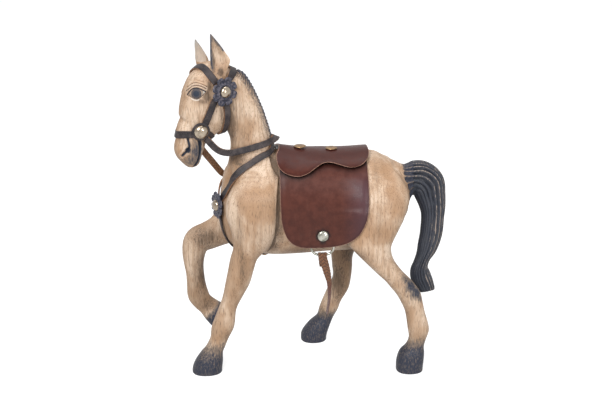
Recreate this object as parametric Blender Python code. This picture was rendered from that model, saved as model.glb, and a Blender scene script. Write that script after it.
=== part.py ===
# Carved wooden toy horse with a leather saddle, bridle and breast strap.
# The horse walks towards -X, its left side faces -Y, and three hooves stand on Z = 0.
# Its wood is glued up from blocks and dowels and then carved in one surface, so the
# script carves the whole horse first and saws it along the glue lines afterwards.
# All sizes are millimetres here, and MM turns them into Blender's metres.

import math

import bmesh
import bpy
from mathutils import Matrix, Vector
from mathutils.bvhtree import BVHTree
from mathutils.interpolate import poly_3d_calc

MM = 0.001
SEAM = 0.3  # glue line between two blocks, and least gap between touching pieces

# Head: it is turned to the horse's left about an upright line through the poll.
HEAD_TURN_DEG = 18
POLL = (-78, 0)

# Stations of each carved form: centre x, y, z, then its depth in the horse's side
# view and its width across. The form runs smoothly through them.
BARREL = (
    (-85, 0, 170, 26, 22),
    (-81, 0, 170, 56, 42),
    (-69, 0, 170, 94, 58),
    (-50, 0, 173, 104, 67),
    (-30, 0, 171.2, 106.5, 72),
    (-8, 0, 169.9, 102.8, 75),
    (20, 0, 170.1, 99.6, 76),
    (48, 0, 170.7, 98.4, 76),
    (66, 0, 175.3, 96.1, 73),
    (76, 0, 179.2, 89.2, 68),
    (85, 0, 181.7, 76.5, 61),
    (93, 0, 183.7, 57.5, 51),
    (99, 0, 186, 43, 38),
    (103, 0, 186.5, 28, 26),
)
NECK = (
    (-52, 0, 192, 63, 48),
    (-51, 0, 208, 58, 44),
    (-53, 0, 222, 46, 38),
    (-54.5, 0, 234, 39.5, 33),
    (-56.5, 0, 245, 37.5, 30),
    (-60, 0, 256, 39, 28),
    (-65, 0, 268, 40, 27),
    (-70, 0, 279, 37, 27),
    (-75, -0.5, 289, 34, 27),
    (-80, -1, 298, 29, 27),
)
HEAD = (
    (-80, 0, 303, 22, 24),
    (-87, 0, 301, 34, 30),
    (-95, 0, 292, 43, 34),
    (-99.5, 0, 279, 45, 33),
    (-101.5, 0, 267, 43, 30),
    (-105.5, 0, 256, 37, 27),
    (-110.5, 0, 249, 32, 25),
    (-114, 0, 241, 29.5, 24),
    (-116, 0, 232, 29, 25),
    (-116, 0, 223, 23.5, 25),
    (-115.8, 0, 217.3, 13, 16),
)
# Each ear: centre x, y, z, then its width in the side view and its thickness.
LEFT_EAR = (
    (-84, -11, 304, 13.5, 9),
    (-83.2, -11.5, 311, 16, 9),
    (-82, -12, 319, 18.5, 8),
    (-84, -12, 326, 14.5, 7),
    (-86.5, -12.5, 334, 9, 5.5),
    (-89.2, -13, 341.5, 3, 3),
)
RIGHT_EAR = (
    (-97, 9.5, 303, 12, 8),
    (-98.3, 11, 309, 12.5, 8.5),
    (-99.5, 13, 315, 12, 8),
    (-101.2, 14, 321.5, 8.5, 6),
    (-103, 14, 327, 5.5, 4.5),
    (-104.3, 14, 331, 2.6, 2.6),
)
LEFT_FORELEG = (
    (-50, -22, 206, 34, 16),
    (-54, -27, 190, 47, 25),
    (-56, -29, 172, 50, 28),
    (-55, -30, 154, 43, 28),
    (-58, -31, 137, 32.5, 25),
    (-64, -31, 124.5, 27, 22),
    (-67.5, -31, 111, 25.5, 20.5),
    (-70.8, -30, 97.5, 24.4, 19.5),
    (-76, -29, 83, 20, 16.5),
    (-81.5, -28, 69, 18.5, 15.5),
    (-87, -27, 51, 21.5, 17.5),
    (-90.5, -26, 37, 18.5, 15.5),
    (-95.5, -25.5, 26, 19, 17),
    (-98.5, -25, 21, 21, 21),
    (-102, -25, 11, 27, 26),
    (-104, -25, 3, 29, 27.5),
    (-104, -25, -3, 29, 27.5),
)
RIGHT_FORELEG = (
    (-48, 24, 196, 40, 18),
    (-52, 28, 176, 50, 27),
    (-59, 29, 155, 52, 28),
    (-72, 29, 141.5, 46.5, 27),
    (-86, 29, 132, 33, 24),
    (-98, 29.5, 126.2, 29.5, 22),
    (-109.5, 30, 121, 28, 21),
    (-113.4, 30, 110, 25, 20.5),
    (-114.2, 30, 97, 21, 19),
    (-113.3, 30, 85, 19, 17.5),
    (-112.4, 30, 72, 20, 16.5),
    (-110.8, 30, 60, 22.5, 17.5),
    (-106.8, 30, 52.3, 20.5, 16.5),
    (-101.5, 30, 47, 20.5, 18),
    (-96, 30, 41, 23.5, 22),
    (-90, 30, 35, 26, 24.5),
    (-88, 30, 33, 26, 24.5),
)
LEFT_HIND_LEG = (
    (60, -22, 206, 50, 18),
    (66.5, -27, 188, 67, 28),
    (64, -30, 170, 62.5, 31),
    (59.8, -32, 152, 56, 31),
    (60, -34, 140, 46, 29),
    (62, -36, 132, 38, 27),
    (69, -37.5, 120.5, 30, 24),
    (79.5, -38.5, 108, 26.5, 21.5),
    (88, -39, 99.5, 26, 20.5),
    (94, -39.5, 92, 26, 20),
    (99, -40, 85, 25, 19),
    (103, -40, 75, 22, 17.5),
    (106.5, -40, 64, 20, 16.5),
    (110.5, -40, 46, 22, 18),
    (110, -40, 35, 18, 16),
    (106, -40, 26, 19, 18),
    (103.5, -40, 20, 25, 24),
    (102, -40, 10, 27, 26),
    (102, -40, 3, 26.5, 26),
    (102, -40, -3, 26.5, 26),
)
RIGHT_HIND_LEG = (
    (56, 22, 206, 48, 18),
    (58, 27, 188, 62, 28),
    (57, 30, 170, 60, 31),
    (54, 31, 152, 47, 31),
    (49, 31, 136, 38, 28),
    (43.5, 31, 118, 33, 25),
    (40.6, 31, 100, 23.2, 22),
    (41, 32, 85.6, 21.2, 19.5),
    (41, 33, 74, 19.5, 18),
    (37, 34, 60, 22.5, 18),
    (30.5, 35.5, 45.5, 20.5, 17),
    (27.3, 36.5, 35.6, 20.5, 18),
    (24, 37.5, 27, 18.5, 17),
    (18, 38, 18.5, 23.8, 23),
    (12.5, 38, 8, 28, 26),
    (11.5, 38, 2, 27.5, 26.5),
    (11.5, 38, -3, 27.5, 26.5),
)
TAIL = (
    (106, 0, 192.5, 35.5, 21),
    (114, -0.5, 192, 37, 22),
    (121.5, -2, 186, 36, 21.5),
    (125, -4, 175, 31, 20.5),
    (127, -6.5, 164, 26.5, 19.5),
    (127, -9, 154, 23.5, 18),
    (125.3, -13, 138, 23, 17),
    (121, -17, 124, 20.5, 16),
    (116.8, -20, 113, 16, 15),
    (113.6, -22, 104, 18, 14),
    (113, -24, 95, 23, 13),
    (118, -26, 86, 21, 12),
    (121, -27, 79, 15, 8),
)
TAIL_STUB = (
    (86, 0, 190, 24, 16),
    (98, 0, 190.5, 29, 20),
    (105, 0, 192, 33, 21),
    (111, 0, 192.5, 35.5, 21),
)
MANE = (
    (-67.5, 0, 304, 7, 7),
    (-62.5, 0, 300, 9, 8),
    (-56, 0, 289.5, 9, 8),
    (-51, 0, 278.5, 9, 8),
    (-46, 0, 266, 9, 8),
    (-42, 0, 253.5, 9, 8),
    (-38.5, 0, 243, 8, 8),
    (-36.5, 0, 239, 6, 7),
)
JOWL = ((-87, 0, 267), (39, 30, 44), 20)
POLL_CROWN = ((-76, 0, 299), (24, 24, 19), 30)


# Glue lines. The head and neck come off along a slope through the withers and the
# chest, and each leg block is let into the flank, narrower up there than at the hoof.
NECK_CUT = ((-20, 228), (-170, 153), (-170, 380), (-20, 380))
LEG_TOP, LEG_STEP = 203, 112
LEG_INNER_HIGH, LEG_INNER_LOW, LEG_OUTER = 14, 0.5, 80
# Each leg block's side of the horse, its front face's x at LEG_TOP and at the floor,
# and its rear face's x.
LEG_BLOCKS = {
    "left_foreleg": (-1, -150, -150, -31.5),
    "right_foreleg": (1, -150, -150, -31.5),
    "left_hind_leg": (-1, 32, 32, 150),
    "right_hind_leg": (1, 24, -8, 150),
}
TAIL_FACE = 106
TAIL_LOCKS = 6
TAIL_SIDES = 24
SHOULDER_PROUD = 2.2
WOOD_FACES = 2900

# Dowels: centre, direction, length and radius. Each lies in holes a little larger.
DOWELS = {
    "neck_dowel": ((-54, 0, 211), (-0.447, 0, 0.894), 30, 6),
    "shoulder_dowel": ((-56, 0, 172), (0, 1, 0), 50, 5),
    "hip_dowel": ((58, 0, 174), (0, 1, 0), 50, 5),
    "tail_dowel": ((106, 0, 192), (1, 0, 0), 26, 4),
}
HOLE_CLEARANCE = 0.3
HOLE_SIDES = 10

# Leather. Straps lie LIFT above the wood. Head strap routes are on the left side of
# the straight-ahead head, from where each strap starts to the middle of the head.
STRAP_THICK = 1.6
LIFT = 0.7
CROWN_LIFT = 1.1
CROSSING_LIFT = 3.3
ROSETTE_AT = (-87.2, -16, 290.8)
NOSE_STUD_AT = (-108.2, -13, 253)
ROSETTE_RADIUS = 14.2
PETALS = 9
STUD_RADIUS = 6.9
ROSETTE_STUD_RADIUS = 5.7
STUD_HEIGHT = 4.2
SHANK_RADIUS = 1.2
BRIDLE_WIDTH = 6.8
REIN_WIDTH = 6.6
CURB_WIDTH = 5
MARTINGALE_WIDTH = 8.4
ROSETTE_TRIM = 8.6  # how far short of a rosette's middle a strap ends
STUD_TRIM = 1.8
CHEST_TRIM = 7
OVER_STRAP = STRAP_THICK + LIFT + 0.4
ROSETTE_SHANK, NOSE_SHANK, SEAT_SHANK, BELLY_SHANK = 15, 12, 16, 11
BELLY_NAIL_HEIGHT = 1.8
ROSETTE_CORE = 1.5  # its thickness under the stud
BROWBAND = (
    (-89, -16, 290.5),
    (-92.2, -16, 297.8),
    (-96.6, -14, 304.6),
    (-99.8, -9, 310),
    (-102, -3, 311.5),
    (-104.5, 4, 310),
    (-106, 10, 306),
    (-104, 15, 300),
    (-98, 17, 294),
    (-89, 16, 290.5),
)
CROWN = ((-89, -16, 290.5), (-83.5, -14.5, 296.5), (-76.8, -12.5, 302.5), (-72, -8.5, 307), (-70.5, 0, 309.5))
CHEEK = ((-89, -16, 290.5), (-94.8, -16.5, 282.7), (-99.7, -15.3, 270.3), (-104.5, -13.7, 258.5), (-108, -13, 252))
THROAT = ((-89, -16, 290.5), (-82.5, -14.5, 278), (-81.3, -14, 268), (-82, -12.5, 257), (-83.5, -8, 248), (-84.5, 0, 246))
NOSEBAND = ((-108, -13, 252), (-115, -12, 250.4), (-121.5, -9, 250), (-125.5, -4, 248.5), (-127, 0, 248))
CURB = ((-108, -13, 252), (-100.7, -12.5, 250.8), (-96, -8, 246), (-96, 0, 243))

# Routes on the body: the middle line of each strap.
BREAST_TOP = (-33, 0, 238)
BREAST_SIDE = (
    (-36.1, -11.6, 228.1),
    (-46.1, -17.8, 224.2),
    (-54, -19.6, 218.9),
    (-62.9, -20.4, 212.3),
    (-71.8, -22.2, 202),
    (-78.5, -21, 192.5),
)
RIGHT_OF_CHEST = (-84.5, 4, 184)
BREAST_LIFT = 1
CHEST_ROSETTE_AT = (-85, -11, 174)
CHEST_FACING = (-0.93, -0.36, 0.05)
CHEST_ROSETTE_RADIUS = 13.5
MARTINGALE = (
    (-85, -10.5, 176),
    (-84.5, -10.5, 164),
    (-83, -10, 153),
    (-79, -8, 138),
    (-71, -4, 125),
    (-60, -1, 119),
    (-50, 0, 117),
    (-38.5, 0, 116),
)
BELLY_NAIL_AT = (-42.5, 0, 117)
BELLY_NAIL_RADIUS = 2.8
# The reins, left stud to right stud: a point, then the way the strap faces there.
REINS = (
    (-97.3, -20.4, 245.2, -0.3, -0.95, -0.1),
    (-92.5, -21.6, 240, -0.2, -0.97, -0.1),
    (-86.5, -21.6, 233.4, -0.2, -0.97, -0.1),
    (-77, -20.5, 230, -0.1, -0.99, 0),
    (-65, -18.8, 231.3, -0.1, -0.98, 0.16),
    (-55, -18.8, 233.8, 0, -0.98, 0.17),
    (-45.5, -16.5, 235.8, 0.2, -0.92, 0.3),
    (-35, -10, 237.5, 0.3, -0.7, 0.6),
    (-28.5, 0, 238.5, 0.3, 0, 0.95),
    (-34, 11, 235.5, 0.3, 0.7, 0.6),
    (-43.5, 18, 229, 0.1, 0.95, 0.3),
    (-53, 21, 215, 0, 0.99, 0.1),
    (-63, 23.5, 202, -0.2, 0.95, 0.2),
    (-72, 23.5, 194.5, -0.5, 0.85, 0.1),
    (-80.5, 19.5, 195, -0.45, 0.85, -0.25),
    (-86.5, 17.5, 202.5, -0.45, 0.85, -0.25),
    (-93, 16.5, 211.5, -0.45, 0.85, -0.2),
    (-101, 14.5, 222.5, -0.4, 0.9, -0.15),
    (-106.5, 11.5, 234, -0.35, 0.93, 0),
    (-107.5, 7.5, 245.5, -0.31, 0.95, 0),
)

# Saddle. Heights are those of each sheet's lower edge, in the side view.
FLAP_THICK = 1.8
SADDLE_LIFT = 1
FLAP_FRONT, FLAP_LOW, FLAP_REAR = -28, 6, 57.5
FLAP_TOP, FLAP_BOTTOM = 196, 138.3
FLAP_FRONT_CORNER, FLAP_REAR_CORNER = 3.6, 2.9
FLAP_LEAN = 0.1
SHEET_TOP = 260
BARREL_AXIS = 172
RAY_STEP = math.radians(7.5)
HUNG_FROM = 12  # steps from the back's middle to the barrel's widest, where the flap hangs free
SEAT_THICK = 1.8
SEAT_FRONT, SEAT_REAR = -30, 61
SEAT_EDGE = (
    (-30, 224), (-29.6, 219), (-27, 214.3), (-21, 211), (-11, 209.2), (-2, 211.3), (6, 216.2),
    (12, 219.9), (18, 221.3), (25, 220.9), (33, 218.8), (41, 217.2), (49, 217.9), (55, 220.2), (61, 225),
)
SEAT_NAILS = (-6, 25)
NAIL_RADIUS = 4.6
NAIL_HEIGHT = 1.5

# Ring fittings: each ring turns in a folded leather keeper behind the flap's edge.
FITTING_X = 12.8
RIVET_Z = 149.7
BAR_Z = 140.5
WIRE = 1.0
RING_HALF_WIDTH = 11.5
RING_DROP = 12
KEEPER_WIDTH = 14
KEEPER_THICK = 1.2
KEEPER_TOP = 155
KEEPER_GAP = 0.35  # between the keeper's two layers
RIVET_RADIUS, RIVET_HEIGHT = 5.4, 2.3
RIVET_RIM = 0.4
GIRTH_WIDTH = 8.4
GIRTH_THICK = 1.3
GIRTH_END = 66
GIRTH_TWIST_DEG = 75
GIRTH_GAP = 0.65  # round the ring's wire
GIRTH_FOLD = 0.4  # how much the short end leans back under the ring
GIRTH_STEPS = 13
GIRTH_DRIFT, GIRTH_BEND = 3.5, 3

UP = Vector((0, 0, 1))
# The middle of the whole horse, which the origin is set under.
CENTRE = (5.9, -0.9)

COLOURS = {
    "wood": ((0.62, 0.43, 0.25), 0.6, 0),
    "tail": ((0.03, 0.035, 0.05), 0.6, 0),
    "dowel": ((0.7, 0.55, 0.35), 0.7, 0),
    "strap": ((0.05, 0.035, 0.03), 0.5, 0),
    "rosette": ((0.03, 0.03, 0.045), 0.5, 0),
    "saddle": ((0.11, 0.035, 0.025), 0.45, 0),
    "suede": ((0.17, 0.07, 0.035), 0.85, 0),
    "brass": ((0.6, 0.42, 0.18), 0.35, 1),
    "nickel": ((0.72, 0.68, 0.6), 0.25, 1),
}


def clear_scene():
    for old in list(bpy.data.objects):
        bpy.data.objects.remove(old, do_unlink=True)


def through(stations, steps):
    """Rows on a smooth curve through the stations, steps of them to each span."""
    rows = []
    last = len(stations) - 1
    for i in range(last):
        before, here, there, after = (
            stations[max(i - 1, 0)],
            stations[i],
            stations[i + 1],
            stations[min(i + 2, last)],
        )
        for step in range(steps):
            t = step / steps
            rows.append(tuple(
                0.5 * (2 * b + (c - a) * t + (2 * a - 5 * b + 4 * c - d) * t**2 + (3 * b - a - 3 * c + d) * t**3)
                for a, b, c, d in zip(before, here, there, after)
            ))
    rows.append(tuple(float(value) for value in stations[-1]))
    return rows


def add_object(name, mesh, origin=(0, 0, 0)):
    obj = bpy.data.objects.new(name, mesh)
    obj.location = Vector(origin) * MM
    bpy.context.scene.collection.objects.link(obj)
    return obj


def mesh_from(name, points, faces):
    """A mesh from points in millimetres, with its faces turned outwards."""
    mesh = bpy.data.meshes.new(name)
    mesh.from_pydata([Vector(p) * MM for p in points], [], faces)
    work = bmesh.new()
    work.from_mesh(mesh)
    bmesh.ops.recalc_face_normals(work, faces=work.faces)
    work.to_mesh(mesh)
    work.free()
    return mesh


def skin(rings):
    """Points and faces of a tube through rings of equally many points, its ends closed."""
    around = len(rings[0])
    points = [p for ring in rings for p in ring]
    faces = [tuple(range(around)), tuple(range(len(points) - around, len(points)))]
    for i in range(len(rings) - 1):
        for j in range(around):
            k = (j + 1) % around
            faces.append((i * around + j, i * around + k, (i + 1) * around + k, (i + 1) * around + j))
    return points, faces


def oval(centre, front, side, depth, width, sides, squareness=2.3):
    """A ring of points, an oval that squareness above 2 fills out at its corners."""
    ring = []
    for k in range(sides):
        angle = 2 * math.pi * k / sides
        c, s = math.cos(angle), math.sin(angle)
        u = math.copysign(abs(c) ** (2 / squareness), c) * depth / 2
        v = math.copysign(abs(s) ** (2 / squareness), s) * width / 2
        ring.append(centre + front * u + side * v)
    return ring


def carved_form(stations, sides=20, steps=3, level=False):
    """Rings of a form through its stations, level or square to the form's own line."""
    rows = through(stations, steps)
    rings = []
    for i, (x, y, z, depth, width) in enumerate(rows):
        ahead, behind = rows[min(i + 1, len(rows) - 1)], rows[max(i - 1, 0)]
        along = Vector((0, 0, -1)) if level else (Vector(ahead[:3]) - Vector(behind[:3])).normalized()
        side = Vector((0, 1, 0))
        side = (side - along * side.dot(along)).normalized()
        rings.append(oval(Vector((x, y, z)), along.cross(side), side, depth, width, sides))
    return rings


def turned(point):
    """A point of the straight-ahead head, carried to where the turned head has it."""
    pole = Vector((*POLL, 0))
    return Matrix.Rotation(math.radians(HEAD_TURN_DEG), 3, "Z") @ (Vector(point) - pole) + pole


def lump(centre, size, tilt_deg=0):
    """Rings of an egg of that size, leaning by tilt_deg in the side view."""
    lean = Matrix.Rotation(math.radians(tilt_deg), 3, "Y")
    rings = []
    for i in range(1, 10):
        polar = math.pi * i / 10
        ring = []
        for k in range(16):
            angle = 2 * math.pi * k / 16
            local = Vector((
                size[0] / 2 * math.sin(polar) * math.cos(angle),
                size[1] / 2 * math.sin(polar) * math.sin(angle),
                size[2] / 2 * math.cos(polar),
            ))
            ring.append(Vector(centre) + lean @ local)
        rings.append(ring)
    return rings


def evaluated_mesh(obj):
    graph = bpy.context.evaluated_depsgraph_get()
    return bpy.data.meshes.new_from_object(obj.evaluated_get(graph))


def fused(name, forms, voxel, rounds):
    """One closed surface over all the forms, with the creases between them carved round."""
    points, faces = [], []
    for rings in forms:
        more, more_faces = skin(rings)
        faces += [tuple(i + len(points) for i in face) for face in more_faces]
        points += more
    rough = add_object(name + "_rough", mesh_from(name, points, faces))
    remesh = rough.modifiers.new("fuse", "REMESH")
    remesh.mode = "VOXEL"
    remesh.voxel_size = voxel * MM
    smooth = rough.modifiers.new("carve", "SMOOTH")
    smooth.factor = 0.5
    smooth.iterations = rounds
    mesh = evaluated_mesh(rough)
    bpy.data.objects.remove(rough)
    return mesh


def horse_forms():
    head = [[turned(p) for p in ring] for ring in carved_form(HEAD)]
    jowl = [[turned(p) for p in ring] for ring in lump(*JOWL)]
    return [
        carved_form(BARREL, sides=28),
        carved_form(NECK),
        head,
        carved_form(LEFT_FORELEG, level=True),
        carved_form(RIGHT_FORELEG),
        carved_form(LEFT_HIND_LEG, level=True),
        carved_form(RIGHT_HIND_LEG, level=True),
        jowl,
        lump(*POLL_CROWN),
        carved_form(TAIL_STUB, steps=2),
        carved_form(MANE, sides=12),
    ]


class Surface:
    """The carved wood: its smooth form gives places and normals, its faceted one clearances."""

    def __init__(self, smooth, faceted=None):
        self.points = [v.co / MM for v in smooth.vertices]
        self.normals = [v.normal.copy() for v in smooth.vertices]
        self.faces = [tuple(p.vertices) for p in smooth.polygons]
        self.tree = BVHTree.FromPolygons(self.points, self.faces)
        self.facets = self.tree
        if faceted:
            corners = [v.co / MM for v in faceted.vertices]
            self.facets = BVHTree.FromPolygons(corners, [tuple(p.vertices) for p in faceted.polygons])

    def smooth_normal(self, place, index):
        face = self.faces[index]
        shares = poly_3d_calc([self.points[i] for i in face], place)
        return sum((self.normals[i] * w for i, w in zip(face, shares)), Vector()).normalized()

    def nearest(self, point):
        place, _, index, _ = self.tree.find_nearest(Vector(point))
        return place, self.smooth_normal(place, index)

    def cast(self, start, direction):
        """The first wood met on a straight line, whichever of the two forms stands out more."""
        start, direction = Vector(start), Vector(direction).normalized()
        hits = [tree.ray_cast(start, direction)[0] for tree in (self.tree, self.facets)]
        hits = [hit for hit in hits if hit is not None]
        return min(hits, key=lambda hit: (hit - start).length) if hits else None

    def outside(self, point, lift, way=None):
        """The point, pushed out where it is nearer the wood than lift."""
        for _ in range(3):
            place, _, index, _ = self.tree.find_nearest(point)
            normal = way or self.smooth_normal(place, index)
            near = self.facets.find_nearest(point)
            inside = (point - near[0]).dot(near[1]) < 0
            depth = min((point - place).dot(normal), -near[3] if inside else near[3])
            point = point + normal * max(0, lift - depth)
        return point


def finish(obj, colour, smooth_angle=35):
    material = bpy.data.materials.new(obj.name)
    material.use_nodes = True
    shader = material.node_tree.nodes["Principled BSDF"]
    rgb, rough, metal = COLOURS[colour]
    shader.inputs["Base Color"].default_value = (*rgb, 1)
    shader.inputs["Roughness"].default_value = rough
    shader.inputs["Metallic"].default_value = metal
    obj.data.materials.clear()
    obj.data.materials.append(material)
    obj.data.shade_smooth()
    obj.data.set_sharp_from_angle(angle=math.radians(smooth_angle))
    return obj


def solid(name, colour, rings, closed=False, origin=(0, 0, 0)):
    """An object skinned over rings, with its origin where given."""
    moved = [[Vector(p) - Vector(origin) for p in ring] for ring in rings]
    points, faces = skin(moved + moved[:1] if closed else moved)
    if closed:
        around = len(moved[0])
        points = points[:-around]
        faces = [tuple(i % len(points) for i in face) for face in faces[2:]]
    return finish(add_object(name, mesh_from(name, points, faces), origin), colour)


def prism(name, outline, place, low, high):
    """A cutter: a flat outline, drawn out from low to high, each point set by place."""
    rings = [[Vector(place(a, b, c)) for a, b in outline] for c in (low, high)]
    return add_object(name, mesh_from(name, *skin(rings)))


def apply_boolean(obj, cutter, operation):
    cut = obj.modifiers.new("cut", "BOOLEAN")
    cut.operation = operation
    cut.object = cutter
    cut.solver = "EXACT"
    mesh = evaluated_mesh(obj)
    obj.modifiers.remove(cut)
    obj.data = mesh
    return obj


def tidied(obj):
    """Cut faces made of triangles, with the slivers that a cut leaves merged away."""
    work = bmesh.new()
    work.from_mesh(obj.data)
    bmesh.ops.dissolve_degenerate(work, dist=0.00002, edges=work.edges)
    bmesh.ops.triangulate(work, faces=work.faces)
    bmesh.ops.recalc_face_normals(work, faces=work.faces)
    work.to_mesh(obj.data)
    work.free()
    return obj


def split(source, name, cutter_for):
    """Saws a block off the source. cutter_for(extra) gives the block's cutter, grown by extra."""
    block = add_object(name, source.data.copy())
    tight, loose = cutter_for(0), cutter_for(SEAM)
    apply_boolean(block, tight, "INTERSECT")
    apply_boolean(source, loose, "DIFFERENCE")
    bpy.data.objects.remove(tight)
    bpy.data.objects.remove(loose)
    return block


def leg_cutter(side, front_top, front_floor, rear):
    """A cutter for one leg's block: a wide foot, and a narrower part let into the flank."""
    def cutter_for(extra):
        inner_high = side * (LEG_INNER_HIGH - extra)
        inner_low = side * (LEG_INNER_LOW - extra)
        outer = side * LEG_OUTER
        step, top = LEG_STEP + extra, LEG_TOP + extra
        outline = ((-5, inner_low), (step, inner_low), (step, inner_high), (top, inner_high), (top, outer), (-5, outer))

        def place(z, y, end):
            front = front_floor + (front_top - front_floor) * z / LEG_TOP
            return (rear + extra, y, z) if end else (front - extra, y, z)
        return prism("leg_cutter", outline, place, 0, 1)
    return cutter_for


def neck_cutter(extra):
    outline = [(x, z - extra if z < 300 else z) for x, z in NECK_CUT]
    return prism("neck_cutter", outline, lambda x, z, y: (x, y, z), -60, 60)


def round_bar(name, centre, direction, length, radius, sides=16):
    """A straight round bar about its centre."""
    axis = Vector(direction).normalized()
    across = axis.orthogonal().normalized()
    rings = [
        oval(Vector(centre) + axis * end, across, axis.cross(across), 2 * radius, 2 * radius, sides, 2)
        for end in (-length / 2, length / 2)
    ]
    return add_object(name, mesh_from(name, *skin(rings)))


def bore(objects, centre, direction, length, radius, sides=16):
    """Drills one round hole through every object given."""
    bit = round_bar("bit", centre, direction, length, radius, sides)
    for obj in objects:
        apply_boolean(obj, bit, "DIFFERENCE")
    bpy.data.objects.remove(bit)


def ear_form(stations, mirror):
    """A pointed leaf with a hollow in the side that faces forward and out."""
    rings = []
    for x, y, z, width, thick in through(stations, 2):
        ring = []
        for k in range(12):
            angle = 2 * math.pi * k / 12
            c, s = math.cos(angle), math.sin(angle)
            bulge = s if s > 0 else s * 0.25 - 0.22 * (1 - c * c)
            ring.append(Vector((x + width / 2 * c, y - mirror * thick * (0.25 - 0.55 * bulge), z)))
        rings.append(ring)
    return rings


def tail_form():
    """The tail, with carved locks that run down it and turn slowly round it."""
    rows = through(TAIL, 2)
    rings = []
    for i, (x, y, z, depth, width) in enumerate(rows):
        ahead, behind = rows[min(i + 1, len(rows) - 1)], rows[max(i - 1, 0)]
        along = Vector((1, 0, 0)) if i == 0 else (Vector(ahead[:3]) - Vector(behind[:3])).normalized()
        side = Vector((0, 1, 0))
        side = (side - along * side.dot(along)).normalized()
        front = along.cross(side)
        carved = min(1, i / 4) * 0.07
        ring = []
        for k in range(TAIL_SIDES):
            angle = 2 * math.pi * k / TAIL_SIDES
            groove = 1 - carved * (1 - abs(math.cos(TAIL_LOCKS / 2 * angle + 0.08 * i)))
            c, s = math.cos(angle), math.sin(angle)
            ring.append(Vector((x, y, z)) + front * (c * depth / 2 * groove) + side * (s * width / 2 * groove))
        rings.append(ring)
    return rings


def horse_wood():
    """Carves the horse in one surface and saws it into its glued blocks."""
    carving = fused("carving", horse_forms(), 2.0, 6)
    horse = add_object("torso", carving)
    thin = horse.modifiers.new("thin", "DECIMATE")
    thin.ratio = WOOD_FACES / (2 * len(carving.polygons))
    horse.data = evaluated_mesh(horse)
    horse.modifiers.clear()
    for stations, mirror in ((LEFT_EAR, 1), (RIGHT_EAR, -1)):
        ear = add_object("ear", mesh_from("ear", *skin(ear_form(stations, mirror))))
        apply_boolean(horse, ear, "UNION")
        bpy.data.objects.remove(ear)
    surface = Surface(carving, horse.data)
    ground = prism("ground", ((-200, -9), (200, -9), (200, 0), (-200, 0)), lambda x, z, y: (x, y, z), -99, 99)
    apply_boolean(horse, ground, "DIFFERENCE")
    bpy.data.objects.remove(ground)
    blocks = {"neck_head": split(horse, "neck_head", neck_cutter)}
    for name, sizes in LEG_BLOCKS.items():
        blocks[name] = split(horse, name, leg_cutter(*sizes))
    box = ((TAIL_FACE - SEAM, 150), (150, 150), (150, 230), (TAIL_FACE - SEAM, 230))
    saw = prism("tail_saw", box, lambda x, z, y: (x, y, z), -13, 13)
    apply_boolean(horse, saw, "DIFFERENCE")
    bpy.data.objects.remove(saw)
    blocks["torso"] = horse
    blocks["tail"] = add_object("tail", mesh_from("tail", *skin(tail_form())))
    raise_shoulder(blocks["left_foreleg"])
    seat_tail(blocks["tail"], blocks["left_hind_leg"])
    drill_dowels(blocks)
    for name, block in blocks.items():
        finish(tidied(block), "tail" if name == "tail" else "wood", 40)
    return blocks, surface


def raise_shoulder(block):
    """Lets the near shoulder stand a little proud of the barrel behind it."""
    for vertex in block.data.vertices:
        x, y, z = vertex.co / MM
        rear = min(1, max(0, (x + 75) / 35))
        low = min(1, max(0, (z - 128) / 14))
        high = min(1, max(0, (202.9 - z) / 9))
        if y < -20:
            vertex.co.y -= SHOULDER_PROUD * MM * rear * low * high


def seat_tail(tail, leg):
    """Cuts the tail back where it lies against the hock, one glue line away from it."""
    grown = add_object("hock", leg.data.copy())
    for vertex in grown.data.vertices:
        vertex.co += vertex.normal * SEAM * 1.2 * MM
    apply_boolean(tail, grown, "DIFFERENCE")
    bpy.data.objects.remove(grown)


def drill_dowels(blocks):
    wood = list(blocks.values())
    for name, (centre, direction, length, radius) in DOWELS.items():
        bore(wood, centre, direction, length + 2 * HOLE_CLEARANCE, radius + HOLE_CLEARANCE)
        finish(round_bar(name, centre, direction, length, radius), "dowel")


def strap_rings(surface, rows, width, thick, lift, hug, across=2):
    """Rings of a flat strap along rows of a point and the way the strap faces there."""
    rings = []
    for i, (point, facing) in enumerate(rows):
        ahead, behind = rows[min(i + 1, len(rows) - 1)][0], rows[max(i - 1, 0)][0]
        along = (ahead - behind).normalized()
        side = facing.cross(along).normalized()
        inner, outer = [], []
        for k in range(across + 1):
            spot = point + side * width * (k / across - 0.5)
            if hug:
                place, normal = surface.nearest(spot)
                spot = surface.outside(place + normal * lift, lift, normal)
            else:
                spot = surface.outside(spot, lift)
                normal = facing
            inner.append(spot)
            outer.append(spot + normal * thick)
        rings.append(inner + outer[::-1])
    return rings


def spaced(points, spacing):
    """Points spacing apart along a smooth curve through the given ones."""
    fine = [Vector(p) for p in through([tuple(p) for p in points], 24)]
    length = sum((b - a).length for a, b in zip(fine, fine[1:]))
    count = max(2, round(length / spacing))
    result, travelled, i = [fine[0]], 0, 0
    for step in range(1, count):
        target = length * step / count
        while travelled + (fine[i + 1] - fine[i]).length < target:
            travelled += (fine[i + 1] - fine[i]).length
            i += 1
        share = (target - travelled) / (fine[i + 1] - fine[i]).length
        result.append(fine[i].lerp(fine[i + 1], share))
    return result + [fine[-1]]


def trimmed(points, start, end):
    """The curve without the given lengths at its two ends."""
    fine = spaced(points, 0.5)
    head, foot = fine[0], fine[-1]
    return [p for p in fine if (p - head).length > start and (p - foot).length > end]


def laid_strap(name, surface, route, width, start=0, end=0, lift=LIFT, spacing=4):
    """A strap that lies on the wood all along its route."""
    points = spaced(trimmed(route, start, end), spacing)
    rows = [(p, surface.nearest(p)[1]) for p in points]
    return solid(name, "strap", strap_rings(surface, rows, width, STRAP_THICK, lift, True))


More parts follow.
